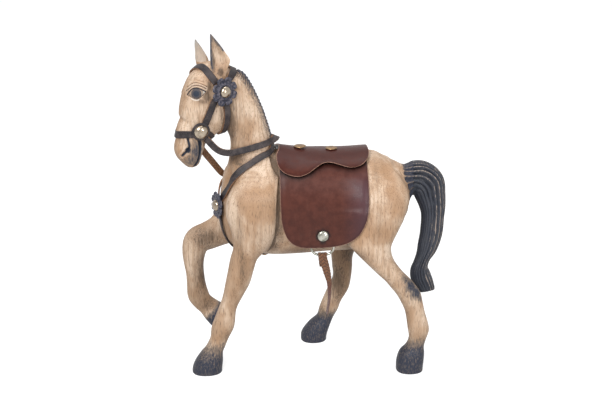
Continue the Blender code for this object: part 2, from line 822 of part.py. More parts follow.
def left_and_right(half):
    """A route over the middle of the straight head, from its left half, on the turned head."""
    other = [(x, -y, z) for x, y, z in reversed(half[:-1])]
    return [turned(p) for p in list(half) + other]


def mirrored(half, side):
    """One side's route on the turned head, with -1 for the horse's left."""
    return [turned((x, -y * side, z)) for x, y, z in half]


def seat(surface, centre, radius, clearance, facing=None):
    """Where a flat disc sits over the wood at a point: its middle, and the way it faces."""
    place, normal = surface.nearest(centre)
    normal = Vector(facing).normalized() if facing else normal
    across = normal.orthogonal().normalized()
    up = normal.cross(across)
    height = 0
    for k in range(16):
        angle = math.pi * k / 8
        for r in (radius, radius / 2):
            spot = place + across * math.cos(angle) * r + up * math.sin(angle) * r
            hit = surface.cast(spot + normal * 20, -normal)
            if hit is not None:
                height = max(height, (hit - place).dot(normal))
    return place + normal * (height + clearance), normal


def turned_piece(name, colour, base, axis, profile, sides=12):
    """A round piece: its profile of height and radius, turned about an axis from its base."""
    axis = Vector(axis).normalized()
    across = axis.orthogonal().normalized()
    rings = [oval(Vector(base) + axis * h, across, axis.cross(across), 2 * r, 2 * r, sides, 2) for h, r in profile]
    return solid(name, colour, rings, origin=base)


def dome_profile(radius, height, shank_radius, shank_length):
    """A domed head on a nail, from the nail's point up to the top of the dome."""
    rows = [(-shank_length, 0.25), (-shank_length + 2, shank_radius), (0, shank_radius), (0, radius * 0.97)]
    rows.append((0.45, radius))
    rows += [(0.45 + (height - 0.45) * math.sin(a), radius * math.cos(a)) for a in (0.45, 0.9, 1.3)]
    return rows


def driven_nail(name, colour, base, axis, radius, height, shank, pierced):
    """A domed nail, and its hole through all that it is driven into."""
    turned_piece(name, colour, base, axis, dome_profile(radius, height, SHANK_RADIUS, shank))
    bore(pierced, base - axis * (shank / 2), axis, shank + 1, SHANK_RADIUS + HOLE_CLEARANCE, HOLE_SIDES)


def rosette_rings(base, axis, radius):
    """A leather flower: nine round petals round a sunk middle."""
    axis = Vector(axis).normalized()
    across = Vector((0, 0, 1)) - axis * axis.z
    across.normalize()
    side = axis.cross(across)
    rings = []
    for share, height, lobes in ((0.35, 0, 0), (0.95, 0, 1), (0.97, 1, 1), (0.72, 2.5, 0.8), (0.42, ROSETTE_CORE, 0)):
        ring = []
        for k in range(PETALS * 4):
            angle = 2 * math.pi * k / (PETALS * 4)
            petal = 1 - 0.2 * lobes * (1 - abs(math.sin(PETALS / 2 * angle))) ** 1.5
            r = radius * share * petal
            ring.append(Vector(base) + axis * height + across * math.cos(angle) * r + side * math.sin(angle) * r)
        rings.append(ring)
    return rings


def studded_rosette(surface, wood, place, radius, name, facing=None):
    """A rosette, and the domed stud that holds it to the wood."""
    base, axis = seat(surface, place, radius * 0.8, OVER_STRAP, facing)
    flower = solid(name + "_rosette", "rosette", rosette_rings(base, axis, radius))
    top = base + axis * (ROSETTE_CORE + SEAM)
    driven_nail(name + "_stud", "nickel", top, axis, ROSETTE_STUD_RADIUS, STUD_HEIGHT, ROSETTE_SHANK, [flower, wood])


def build_bridle(surface, head):
    brow = [turned(p) for p in BROWBAND]
    laid_strap("browband", surface, brow, BRIDLE_WIDTH, ROSETTE_TRIM, ROSETTE_TRIM)
    crown = left_and_right(CROWN)
    laid_strap("crown_strap", surface, crown, BRIDLE_WIDTH, ROSETTE_TRIM, ROSETTE_TRIM, CROWN_LIFT, 3)
    laid_strap("throat_latch", surface, left_and_right(THROAT), BRIDLE_WIDTH, ROSETTE_TRIM, ROSETTE_TRIM)
    laid_strap("noseband", surface, left_and_right(NOSEBAND), BRIDLE_WIDTH, STUD_TRIM, STUD_TRIM)
    laid_strap("curb_strap", surface, left_and_right(CURB), CURB_WIDTH, STUD_TRIM, STUD_TRIM)
    for side, name in ((-1, "left"), (1, "right")):
        cheek = mirrored(CHEEK, side)
        laid_strap(name + "_cheek_strap", surface, cheek, BRIDLE_WIDTH, ROSETTE_TRIM, BRIDLE_WIDTH / 2 + LIFT)
        studded_rosette(surface, head, mirrored((ROSETTE_AT,), side)[0], ROSETTE_RADIUS, name + "_bridle")
        base, axis = seat(surface, mirrored((NOSE_STUD_AT,), side)[0], STUD_RADIUS * 0.8, OVER_STRAP)
        driven_nail(name + "_nose_stud", "nickel", base, axis, STUD_RADIUS, STUD_HEIGHT, NOSE_SHANK, [head])


def build_reins(surface):
    fine = through(REINS, 12)
    points = spaced([row[:3] for row in REINS], 6)
    nearest = [min(fine, key=lambda r: (Vector(r[:3]) - point).length) for point in points]
    rows = [(point, Vector(row[3:]).normalized()) for point, row in zip(points, nearest)]
    at_stud = strap_rings(surface, rows, REIN_WIDTH, STRAP_THICK, LIFT, False)
    on_body = strap_rings(surface, rows, REIN_WIDTH, STRAP_THICK, CROSSING_LIFT, False)
    rings = at_stud[:3] + on_body[3:-3] + at_stud[-3:]
    solid("reins", "strap", rings)


def build_breast_strap(surface, torso):
    right = [(x, -y, z) for x, y, z in BREAST_SIDE]
    route = [CHEST_ROSETTE_AT, *reversed(BREAST_SIDE), BREAST_TOP, *right, RIGHT_OF_CHEST, CHEST_ROSETTE_AT]
    laid_strap("breast_strap", surface, route, BRIDLE_WIDTH, CHEST_TRIM, CHEST_TRIM + 1, BREAST_LIFT, 4.2)
    martingale = laid_strap("martingale", surface, MARTINGALE, MARTINGALE_WIDTH, CHEST_TRIM, 0, BREAST_LIFT, 5)
    studded_rosette(surface, torso, CHEST_ROSETTE_AT, CHEST_ROSETTE_RADIUS, "chest", CHEST_FACING)
    base, axis = seat(surface, BELLY_NAIL_AT, BELLY_NAIL_RADIUS, STRAP_THICK + BREAST_LIFT + SEAM)
    pierced = [martingale, torso]
    driven_nail("belly_nail", "brass", base, axis, BELLY_NAIL_RADIUS, BELLY_NAIL_HEIGHT, BELLY_SHANK, pierced)


def drape(surface, x, side, lift):
    """A sheet's inner face at one x, from the back's middle down to the barrel's widest.

    Each row is the face's distance from the barrel's axis, one angle further round.
    The last row also stands far enough out for the sheet to hang clear of the flank.
    """
    axis = Vector((x, 0, BARREL_AXIS))
    column = []
    for k in range(HUNG_FROM + 5):
        out = Vector((0, side * math.sin(k * RAY_STEP), math.cos(k * RAY_STEP)))
        hit = surface.cast(axis + out * 80, -out)
        if k <= HUNG_FROM:
            column.append((hit - axis).length + lift)
        else:
            column[-1] = max(column[-1], side * hit.y - FLAP_LEAN * (BARREL_AXIS - hit.z) + lift)
    return column


def drapes(surface, stations, side, lift):
    """The columns of a sheet at all its x, stretched smooth over what lies beneath."""
    columns = [drape(surface, x, side, lift) for x in stations]
    for _ in range(3):
        smooth = []
        for i, column in enumerate(columns):
            before, after = columns[max(i - 1, 0)], columns[min(i + 1, len(columns) - 1)]
            smooth.append([max(r, (a + 2 * r + b) / 4) for a, r, b in zip(before, column, after)])
        columns = smooth
    return columns


def across(column):
    """How far out from the horse's middle each point of a column lies."""
    return [r * math.sin(k * RAY_STEP) for k, r in enumerate(column)]


def upward(column):
    """The height of each point of a column."""
    return [BARREL_AXIS + r * math.cos(k * RAY_STEP) for k, r in enumerate(column)]


def hung(column, side, edge, count):
    """Points down one side of a column to its edge's height, evenly apart, top first."""
    line = [Vector((side * y, z)) for y, z in zip(across(column), upward(column))]
    line.append(Vector((line[-1].x + side * FLAP_LEAN * 50, BARREL_AXIS - 50)))
    fine = [a.lerp(b, t / 20) for a, b in zip(line, line[1:]) for t in range(20)]
    fine = [p for p in fine if p.y > edge]
    return [fine[round((len(fine) - 1) * k / (count - 1))] for k in range(count)]


def saddle_sheet(name, surface, low, high, outline, lift, thick, columns, count):
    """A sheet of leather laid over the back, its edge then cut to an outline of x and z."""
    stations = [low + (high - low) * i / columns for i in range(columns + 1)]
    sides = {side: drapes(surface, stations, side, lift) for side in (-1, 1)}
    bottom = min(z for _, z in outline) - 2
    rings = []
    for i, x in enumerate(stations):
        left = hung(sides[-1][i], -1, bottom, count)
        right = hung(sides[1][i], 1, bottom, count)
        line = left[::-1] + right[1:]
        outer = []
        for j, p in enumerate(line):
            along = (line[min(j + 1, len(line) - 1)] - line[max(j - 1, 0)]).normalized()
            outer.append(p + Vector((-along.y, along.x)) * thick)
        rings.append([Vector((x, p.x, p.y)) for p in line + outer[::-1]])
    sheet = solid(name, "saddle", rings)
    knife = prism("knife", outline, lambda x, z, y: (x, y, z), -70, 70)
    apply_boolean(sheet, knife, "INTERSECT")
    bpy.data.objects.remove(knife)
    widest = {side: [max(across(column)) for column in sides[side]] for side in sides}
    return finish(tidied(sheet), "saddle"), dict(stations=stations, widest=widest)


def flap_outline():
    """The flap's edge: upright in front and behind, and below a flat curve with round corners."""
    points = [(FLAP_REAR, SHEET_TOP), (FLAP_FRONT, SHEET_TOP)]
    for k in range(25):
        angle = math.pi * k / 24
        front = angle < math.pi / 2
        reach = FLAP_LOW - FLAP_FRONT if front else FLAP_REAR - FLAP_LOW
        power = 2 / (FLAP_FRONT_CORNER if front else FLAP_REAR_CORNER)
        along = math.copysign(abs(math.cos(angle)) ** power, -math.cos(angle)) * reach
        points.append((FLAP_LOW + along, FLAP_TOP - (FLAP_TOP - FLAP_BOTTOM) * math.sin(angle) ** power))
    return points


def seat_outline():
    """The seat's edge: a deep lobe in front and a shallow one behind, with a notch between."""
    return [(SEAT_REAR, SHEET_TOP), (SEAT_FRONT, SHEET_TOP), *through(SEAT_EDGE, 2)]


def build_saddle(surface, torso):
    flaps, shape = saddle_sheet(
        "saddle_flaps", surface, FLAP_FRONT - 1, FLAP_REAR + 1, flap_outline(), SADDLE_LIFT, FLAP_THICK, 9, 10)
    lift = SADDLE_LIFT + FLAP_THICK + 0.65
    leather, _ = saddle_sheet(
        "saddle_seat", surface, SEAT_FRONT - 1, SEAT_REAR + 1, seat_outline(), lift, SEAT_THICK, 8, 7)
    top_face = Surface(leather.data)
    for x, name in zip(SEAT_NAILS, ("front", "rear")):
        height = max(top_face.cast((x + dx, 0, 300), (0, 0, -1)).z for dx in (-NAIL_RADIUS, 0, NAIL_RADIUS))
        top = Vector((x, 0, height + SEAM))
        pierced = [torso, flaps, leather]
        driven_nail(name + "_seat_nail", "brass", top, UP, NAIL_RADIUS, NAIL_HEIGHT, SEAT_SHANK, pierced)
    return flaps, shape


def flap_width(shape, side, x):
    """How far out the hanging flap's inner face is at its widest, at one x."""
    stations, widths = shape["stations"], shape["widest"][side]
    i = max(k for k in range(len(stations) - 1) if stations[k] <= x)
    share = (x - stations[i]) / (stations[i + 1] - stations[i])
    return widths[i] * (1 - share) + widths[i + 1] * share


def ribbon(name, colour, path, width, thick, origin):
    """A strip of leather bent along a path in a plane across the horse."""
    rings = []
    for i, p in enumerate(path):
        ahead, behind = path[min(i + 1, len(path) - 1)], path[max(i - 1, 0)]
        along = (ahead - behind).normalized()
        side = Vector((1, 0, 0))
        normal = side.cross(along)
        rings.append([
            p + side * width * u + normal * thick * v
            for u, v in ((-0.5, -0.5), (0.5, -0.5), (0.5, 0.5), (-0.5, 0.5))
        ])
    return solid(name, colour, rings, origin=origin)


def ring_loop(bar, side):
    """The ring's wire as rings of points: a straight bar, and a flat-bottomed bow."""
    middle = [Vector((u, 0)) for u in (-9.5, -3.2, 3.2, 9.5)]
    for k in range(1, 18):
        angle = math.pi * k / 18
        c, s = math.cos(angle), math.sin(angle)
        u = math.copysign(abs(c) ** (2 / 2.6), c) * RING_HALF_WIDTH
        middle.append(Vector((u, -RING_DROP * abs(s) ** (2 / 2.6))))
    rings = []
    for i, here in enumerate(middle):
        ahead, behind = middle[(i + 1) % len(middle)], middle[i - 1]
        along = (ahead - behind).normalized()
        out = Vector((along.y, 0, -along.x))
        centre = bar + Vector((here.x, 0, here.y))
        rings.append(oval(centre, out, Vector((0, 1, 0)), 2 * WIRE, 2 * WIRE, 6, 2))
    return rings


def build_fittings(flaps, shape, side, name):
    """The keeper, its rivet and its ring, behind one flap's lower edge."""
    widths = [flap_width(shape, side, FITTING_X + dx) for dx in (-KEEPER_WIDTH / 2, 0, KEEPER_WIDTH / 2)]
    spread = max(widths) - min(widths)

    def flap_inside(z):
        return min(widths) + FLAP_LEAN * (BARREL_AXIS - z)

    out = Vector((0, side, 0))
    loop = WIRE + SEAM + KEEPER_THICK / 2
    bar = Vector((FITTING_X, 0, BAR_Z)) + out * (flap_inside(BAR_Z) - SEAM - KEEPER_THICK / 2 - loop)
    lean = Vector((0, side * FLAP_LEAN, -1)).normalized()
    up = -lean
    face = Vector((0, side, FLAP_LEAN)).normalized()
    path = [bar + face * loop + up * d for d in (KEEPER_TOP - BAR_Z, 10, 5, 1.5)]
    for k in range(7):
        angle = -math.pi * k / 6
        path.append(bar + face * loop * math.cos(angle) + up * loop * math.sin(angle))
    inner = loop - KEEPER_THICK - KEEPER_GAP
    path += [bar - face * loop + up * 0.8]
    path += [bar + face * inner + up * d for d in (4.6, 9, KEEPER_TOP - BAR_Z)]
    keeper = ribbon(name + "_keeper", "strap", path, KEEPER_WIDTH, KEEPER_THICK, bar)
    solid(name + "_ring", "nickel", ring_loop(bar, side), closed=True, origin=bar)
    hole = bar + face * (loop + KEEPER_THICK / 2) + up * (RIVET_Z - BAR_Z)
    head = hole + face * (SEAM + FLAP_THICK + SEAM + spread + 0.1)
    depth = FLAP_THICK + spread + 2 * KEEPER_THICK + KEEPER_GAP + 3.5 * SEAM
    profile = [(-depth - 0.6, 2), (-depth, 2.2), (-depth, SHANK_RADIUS), (0, SHANK_RADIUS)]
    profile += [(0, RIVET_RADIUS - 0.2), (RIVET_RIM, RIVET_RADIUS)]
    dome = RIVET_HEIGHT - RIVET_RIM
    profile += [(RIVET_RIM + dome * math.sin(a), RIVET_RADIUS * math.cos(a)) for a in (0.45, 0.9, 1.3)]
    turned_piece(name + "_flap_rivet", "nickel", head, face, profile)
    bore([keeper, flaps], head - face * depth / 2, face, depth + 0.4, SHANK_RADIUS + HOLE_CLEARANCE, HOLE_SIDES)
    return bar


def build_girth(bar, side):
    """The girth strap: folded over the ring's bow, hanging free and turning edge on."""
    pivot = bar - Vector((0, 0, RING_DROP))
    loop = WIRE + GIRTH_GAP + GIRTH_THICK / 2
    out = Vector((0, side, 0))
    down = Vector((0, 0, -1))
    path = [pivot - out * (loop - GIRTH_FOLD) + down * d for d in (13, 8, 3)]
    path += [pivot + out * loop * math.sin(a) - down * loop * math.cos(a) for a in (-1.3, -0.8, -0.3, 0.3, 0.8, 1.3)]
    length = pivot.z - GIRTH_END
    rings = []
    for k in range(GIRTH_STEPS + 1):
        share = k / GIRTH_STEPS
        drift = Vector((GIRTH_DRIFT * share + GIRTH_BEND * math.sin(math.pi * share), 0, 0))
        path.append(pivot + out * (loop - 0.2 * share) + down * (2 + (length - 2) * share) + drift)
    for i, p in enumerate(path):
        ahead, behind = path[min(i + 1, len(path) - 1)], path[max(i - 1, 0)]
        along = (ahead - behind).normalized()
        twisted = min(1, max(0, (i - 13) / 9))
        turn = Matrix.Rotation(math.radians(GIRTH_TWIST_DEG) * twisted, 3, along)
        flat = Vector((1, 0, 0))
        flat = turn @ (flat - along * flat.dot(along)).normalized()
        normal = flat.cross(along)
        width = GIRTH_WIDTH * (1 - 0.35 * twisted)
        rings.append([
            p + flat * width * u + normal * GIRTH_THICK * v
            for u, v in ((-0.5, -0.5), (0.5, -0.5), (0.5, 0.5), (-0.5, 0.5))
        ])
    return solid("girth_strap", "suede", rings, origin=pivot)


def recentre():
    """Sets the origin under the middle of the horse."""
    for obj in bpy.context.scene.collection.objects:
        obj.location -= Vector((CENTRE[0], CENTRE[1], 0)) * MM


def main():
    clear_scene()
    blocks, surface = horse_wood()
    build_bridle(surface, blocks["neck_head"])
    build_reins(surface)
    build_breast_strap(surface, blocks["torso"])
    flaps, shape = build_saddle(surface, blocks["torso"])
    for side, name in ((-1, "left"), (1, "right")):
        bar = build_fittings(flaps, shape, side, name)
        if side < 0:
            build_girth(bar, side)
    recentre()


main()
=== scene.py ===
# Looks of the carved wooden toy horse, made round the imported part.
# Shapes are worked out in millimetres in the carver's frame. The part's frame is the
# same with its origin moved by CENTRE, and every mesh is moved there as it is made.

import math

import bmesh
import bpy
import numpy as np
from mathutils import Matrix, Vector
from mathutils.bvhtree import BVHTree
from mathutils.kdtree import KDTree


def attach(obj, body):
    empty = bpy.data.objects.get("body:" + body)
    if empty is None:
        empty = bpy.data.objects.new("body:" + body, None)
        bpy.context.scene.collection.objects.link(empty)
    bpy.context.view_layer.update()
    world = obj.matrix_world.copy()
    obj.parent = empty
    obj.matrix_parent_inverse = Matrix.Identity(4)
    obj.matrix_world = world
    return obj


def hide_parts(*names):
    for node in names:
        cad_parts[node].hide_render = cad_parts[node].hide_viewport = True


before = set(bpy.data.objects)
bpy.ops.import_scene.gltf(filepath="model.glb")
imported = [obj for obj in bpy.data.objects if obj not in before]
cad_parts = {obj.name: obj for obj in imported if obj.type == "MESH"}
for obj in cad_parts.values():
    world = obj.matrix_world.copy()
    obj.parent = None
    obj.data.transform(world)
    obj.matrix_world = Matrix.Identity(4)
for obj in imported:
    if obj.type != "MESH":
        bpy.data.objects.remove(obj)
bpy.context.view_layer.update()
MM = 0.001
CENTRE = Vector((5.9, -0.9, 0))
VOXEL = 0.8
RUMP_ROUNDS = 140
HOLLOW_ROUNDS = 20
TAIL_STEPS, TAIL_SIDES = ((10, 128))
FLOWER_SIDES = 216
SHEET_STEPS = 6
CREASE_SPREAD = 4.9
MANE_REACH = 7

# The head is turned to the horse's left about an upright line through the poll.
HEAD_TURN_DEG = 18
POLL = (-78, 0)

# Stations of each carved form: centre x, y, z, then its depth in the horse's side
# view and its width across.
BARREL = (
    (-85, 0, 170, 26, 22), (-81, 0, 170, 56, 42), (-69, 0, 170, 94, 58), (-50, 0, 173, 104, 67),
    (-30, 0, 171.2, 106.5, 72), (-8, 0, 169.9, 102.8, 75), (20, 0, 170.1, 99.6, 76),
    (48, 0, 170.7, 98.4, 76), (66, 0, 175.3, 96.1, 73), (76, 0, 179.2, 89.2, 68),
    (85, 0, 181.7, 76.5, 61), (93, 0, 183.7, 57.5, 51), (99, 0, 186, 43, 38), (103, 0, 186.5, 28, 26),
)
NECK = (
    (-52, 0, 192, 63, 48), (-51, 0, 208, 58, 44), (-53, 0, 222, 46, 38), (-54.5, 0, 234, 39.5, 33),
    (-56.5, 0, 245, 37.5, 30), (-60, 0, 256, 39, 28), (-65, 0, 268, 40, 27), (-70, 0, 279, 37, 27),
    (-75, -0.5, 289, 34, 27), (-80, -1, 298, 29, 27),
)
HEAD = (
    (-80, 0, 303, 22, 24), (-87, 0, 301, 34, 30), (-95, 0, 292, 43, 34), (-99.5, 0, 279, 45, 33),
    (-102.4, 0, 267, 44.8, 30), (-105.9, 0, 256, 40.4, 27), (-111.2, 0, 249.5, 34.5, 25),
    (-114, 0, 241, 29.5, 24), (-116, 0, 232, 29, 25), (-114.4, 0, 223, 20.6, 24),
    (-112.3, 0, 215.8, 11.5, 15),
)
LEFT_EAR = (
    (-84, -11, 304, 13.5, 9), (-83.2, -11.5, 311, 16, 9), (-82, -12, 319, 18.5, 8),
    (-84, -12, 326, 14.5, 7), (-86.5, -12.5, 334, 9, 5.5), (-89.4, -13, 341.5, 3, 2.6),
    (-90.3, -13.2, 344, 0.7, 0.7),
)
RIGHT_EAR = (
    (-97, 9.5, 303, 12, 8), (-98.3, 11, 309, 12.5, 8.5), (-99.5, 13, 315, 12, 8),
    (-101.2, 14, 321.5, 8.5, 6), (-103, 14, 327, 5.5, 4.5), (-104.3, 14, 331, 2.6, 2.4),
    (-104.8, 14, 333.4, 0.7, 0.7),
)
EAR_FOOT = 309
LEFT_FORELEG = (
    (-50, -22, 206, 34, 16), (-54, -27, 190, 47, 25), (-56, -29, 172, 50, 28), (-55, -30, 154, 43, 28),
    (-58, -31, 137, 32.5, 25), (-64, -31, 124.5, 27, 22), (-67.5, -31, 111, 25.5, 20.5),
    (-70.8, -30, 97.5, 24.4, 19.5), (-76, -29, 83, 20, 16.5), (-81.5, -28, 69, 18.5, 15.5),
    (-86.2, -27, 50, 23, 17.5), (-90, -26, 37, 19, 15.5), (-94.8, -25.5, 26, 20, 17),
    (-97.8, -25, 21, 22, 21), (-101.2, -25, 11, 28.5, 26), (-103.2, -25, 3, 30.5, 27.5),
    (-103.2, -25, -3, 30.5, 27.5),
)
RIGHT_FORELEG = (
    (-48, 24, 196, 40, 18), (-52, 28, 176, 50, 27), (-59, 29, 155, 52, 28), (-72, 29, 141.5, 46.5, 27),
    (-86, 29, 132, 33, 24), (-98, 29.5, 126.2, 29.5, 22), (-109.5, 30, 121, 28, 21),
    (-113.4, 30, 110, 25, 20.5), (-114.2, 30, 97, 21, 19), (-113.3, 30, 85, 19, 17.5),
    (-112.4, 30, 72, 20, 16.5), (-110.8, 30, 60, 22.5, 17.5), (-106.8, 30, 52.3, 20.5, 16.5),
    (-101.5, 30, 47, 20.5, 18), (-96, 30, 41, 23.5, 22), (-90, 30, 35, 26, 24.5), (-88, 30, 33, 26, 24.5),
)
LEFT_HIND_LEG = (
    (60, -22, 206, 50, 18), (66.5, -27, 188, 67, 28), (65.5, -30, 170, 65.5, 31),
    (61.3, -32, 154, 60, 31), (60, -34, 140, 47, 29), (62, -36, 132, 38, 27), (69, -37.5, 120.5, 30, 24),
    (79.5, -38.5, 108, 26.5, 21.5), (88, -39, 99.5, 26, 20.5), (94, -39.5, 92, 26, 20),
    (99, -40, 85, 25, 19), (103, -40, 75, 22, 17.5), (106.5, -40, 64, 20, 16.5), (110.5, -40, 46, 22, 18),
    (110, -40, 35, 18, 16), (107, -40, 26, 19.5, 18), (104.6, -40, 20, 25.5, 24), (103, -40, 10, 28, 26),
    (102.6, -40, 3, 27.5, 26), (102.6, -40, -3, 27.5, 26),
)
RIGHT_HIND_LEG = (
    (56, 22, 206, 48, 18), (58, 27, 188, 62, 28), (57, 30, 170, 60, 31), (54, 31, 152, 47, 31),
    (49, 31, 136, 38, 28), (43.5, 31, 118, 33, 25), (40.6, 31, 100, 23.2, 22), (41, 32, 85.6, 21.2, 19.5),
    (41, 33, 74, 19.5, 18), (37, 34, 60, 22.5, 18), (30.5, 35.5, 45.5, 20.5, 17),
    (27.3, 36.5, 35.6, 20.5, 18), (24, 37.5, 27, 18.5, 17), (18, 38, 18.5, 23.8, 23),
    (12.5, 38, 8, 28, 26), (11.5, 38, 2, 27.5, 26.5), (11.5, 38, -3, 27.5, 26.5),
)
TAIL = (
    (106, 0, 192.5, 35.5, 21), (114, -0.5, 192, 37, 22), (121.5, -2, 186, 36, 21.5),
    (125, -4, 175, 31, 20.5), (127, -6.5, 164, 26.5, 19.5), (127, -9, 154, 23.5, 18),
    (125.3, -13, 138, 23, 17), (121, -17, 124, 20.5, 16), (116.8, -19.5, 115, 15.5, 15),
    (114, -21.5, 108, 15.5, 14.5), (113, -22.8, 102.5, 19, 14), (114, -24, 96, 21, 13),
    (117.2, -25.5, 88.5, 20, 12.5), (119.4, -27, 83.5, 18, 10), (119.9, -27.3, 81, 16.5, 8),
)
TAIL_STUB = (
    (86, 0, 190, 24, 16), (98, 0, 190.5, 29, 20), (105, 0, 192, 33, 21), (111, 0, 192.5, 35.5, 21),
)
MANE = (
    (-67.5, 0, 304, 7, 7), (-62.5, 0, 300, 9, 8), (-56, 0, 289.5, 9, 8), (-51, 0, 278.5, 9, 8),
    (-46, 0, 266, 9, 8), (-42, 0, 253.5, 9, 8), (-38.5, 0, 243, 8, 8), (-36.5, 0, 239, 6, 7),
)
# Rounded lumps on the head and neck: a middle, a size each way and a lean in degrees.
JOWL = ((-87, 0, 267), (39, 30, 44), 20)
POLL_CROWN = ((-76, 0, 299), (24, 24, 19), 30)

# Where the wood is sawn into its blocks.
NECK_CUT = ((-20, 228), (-170, 153), (-170, 380), (-20, 380))
LEG_TOP, LEG_STEP = 203, 112
LEG_INNER_HIGH, LEG_INNER_LOW, LEG_OUTER = 14, 0.5, 80
LEG_BLOCKS = {
    "left_foreleg": (-1, -150, -150, -31.5),
    "right_foreleg": (1, -150, -150, -31.5),
    "left_hind_leg": (-1, 32, 32, 150),
    "right_hind_leg": (1, 24, -8, 150),
}
TAIL_CUT = ((106, 150), (150, 150), (150, 230), (106, 230))
GROUND = ((-200, -9), (200, -9), (200, 0), (-200, 0))
HOCK_GAP = 0.35
SHOULDER_PROUD = 2.2
SHOULDER_SUNK = 2.4
# The near shoulder's rear edge: heights, and the x it runs at there.
SHOULDER_EDGE = (
    (126, -41.2), (139.6, -36), (159, -34), (179, -32), (200.9, -29.8), (207, -29), (214.7, -34.7),
    (224, -37), (232, -34),
)
ROOT_Z = 192.5
ROOT_HALF = (10.5, 17.75)
TAIL_LOCKS = 11

# Carved and painted lines of the face: x and z on the left side of the straight head.
FACE_LINES = {
    "upper": (
        (-118.4, 288.1), (-116.3, 291.4), (-113.9, 294), (-110.8, 295), (-107.2, 294), (-102.6, 291.4),
    ),
    "lower": (
        (-118.4, 288.1), (-115.8, 286.3), (-113.2, 284.9), (-110.6, 284.5), (-107.4, 286.4), (-102.6, 291.4),
    ),
    "fold": ((-118.4, 291.3), (-114.4, 295.9), (-110, 297.4), (-105.6, 296.2), (-102.2, 294.2)),
    "brow": ((-117, 295), (-113.6, 298.8), (-109.4, 299.8), (-104.8, 298.2), (-101, 295.9)),
    "line": ((-114.4, 301), (-108.8, 302), (-103.2, 300.2)),
    "nostril": (
        (-120.2, 246), (-119.5, 242), (-119, 238.4), (-119.8, 235.6), (-121.6, 233.7), (-124, 231.8),
        (-126, 229),
    ),
    "mouth": (
        (-108.8, 243), (-108, 238), (-107.9, 233), (-108.4, 229), (-109.6, 225), (-111.2, 221),
        (-113.4, 217),
    ),
}
# Each line's depth and width of cut, then its strength and width of ink.
FACE_CUTS = {
    "upper": (0.8, 0.6, 0.95, 0.65),
    "lower": (0.6, 0.6, 0.5, 0.6),
    "fold": (0.9, 0.55, 0.62, 0.5),
    "brow": (0.8, 0.55, 0.55, 0.5),
    "line": (0.5, 0.5, 0.42, 0.5),
    "nostril": (1.5, 1.1, 1, 1.3),
    "mouth": (2.8, 1.5, 1.3, 1.9),
}
IRIS = (-111.2, 289.8)
IRIS_RADIUS = 5
PUPIL_RADIUS = 2.3
# The glint is a painted highlight on the iris.
GLINT = (-112.2, 290.6)
NOSTRIL_HOLE = (-120.6, 234.8)
NOSTRIL_WING = -119.5
# Where the face's mesh is split finer: spots of the right cheek on the straight head, and their
# reach.
FINE_SPOTS = (
    (((-110, 13, 291), (-103, 16, 291)), 11), (((-119, 11, 236), (-107, 9, 229)), 11),
    (((-110, 13, 290), (-104, 16, 291)), 8.5),
)

# Painted shade of the face, partly brown paint, and then stain, in the same side view: a place,
# its reach each way and its strength.
FACE_SHADES = (
    ((-102, 287), (4.6, 8), 1.2), ((-105.8, 282.2), (6, 3.8), 0.9), ((-98.6, 296.5), (3, 7), 1.1),
    ((-111.4, 237), (6, 12), 0.6), ((-111, 248), (7, 2.6), 0.9), ((-87, 266), (2.2, 11), 1),
    ((-97, 262), (4, 6), 0.35), ((-116.5, 291), (2.2, 3), 0.5), ((-104, 262), (9, 14), 0.16),
)

FACE_STAINS = (
    ((-112.4, 232), (7.5, 13), 0.8), ((-117.4, 224.5), (8, 6.5), 0.7),
)

# Where dark stain covers the wood: below a height, fading out up to another, in a box.
HOOF_STAINS = (
    (8, 46, ((-125, -80), (-60, -5), (-1, 60))), (20, 44, ((80, 125), (-60, -20), (-1, 60))),
    (22, 44, ((-10, 45), (15, 60), (-1, 60))),
)
# The raised hoof's stain fades in along this way of x and z, between these distances.
RAISED_WAY = (0.74, -0.67)
RAISED_FADE = (-105, -96)
# Stained spots on the ears' tips and the hock: a place, its reach and its strength.
STAIN_SPOTS = (
    ((-90.5, -13, 343), 8, 0.8), ((-105, 14, 333), 7, 0.75), ((98, -49, 104), 7, 1.1),
    ((103, -49, 97), 8.5, 1.3), ((107, -48, 89), 8, 1.1), ((110, -46, 82), 5, 0.7),
)
# Stained lines on the left ear: a route, its width and its strength.
EAR_LINES = (
    (
        ((-90.5, -13.5, 343), (-90.5, -14, 334), (-90.4, -14, 326), (-90.2, -14.3, 318), (-89.6, -15, 309)),
        1.5, 0.95,
    ),
    (((-89.6, -13.5, 342), (-86, -14, 338.5), (-82.5, -14, 333.5), (-79, -14, 329)), 1.9, 0.85),
)
TAIL_STAIN_FROM = (94.5, 98)

# Brown and grey painted shade on each side's wood where it lies in shadow, partly brown patina, in the
# side view: a place, its reach each way and its strength.
NEAR_SHADES = (
    ((-82, 308), (3.2, 4), 1.5), ((-88.5, 316), (2.6, 13), 1.1), ((-84, 330), (8, 10), 0.6),
    ((-82, 314), (6, 9), 0.4), ((-75, 255), (9, 26), 1.25), ((-62, 244), (8, 14), 0.6),
    ((-64, 268), (4, 22), 0.5), ((-56, 258), (3, 16), 0.4), ((-70, 224), (13, 11), 1.1),
    ((-30, 165), (5.5, 40), 0.9), ((-31, 214), (5, 12), 1.1), ((-33, 134), (8, 9), 0.9),
    ((-12, 127), (26, 9), 0.7), ((46, 128), (14, 8), 0.75), ((66, 205), (3, 16), 0.5),
    ((67, 160), (4, 24), 0.5), ((-50, 146), (12, 30), 0.5), ((-66, 118), (5, 30), 0.8),
    ((-74, 88), (3.5, 18), 0.5), ((-82, 40), (6, 10), 0.6), ((102, 178), (8, 22), 0.75),
    ((87, 132), (4, 22), 0.5), ((99, 108), (9, 12), 0.6), ((96, 62), (4, 24), 0.45),
    ((113, 36), (9, 9), 0.6), ((-68, 150), (5, 45), 0.6),
)
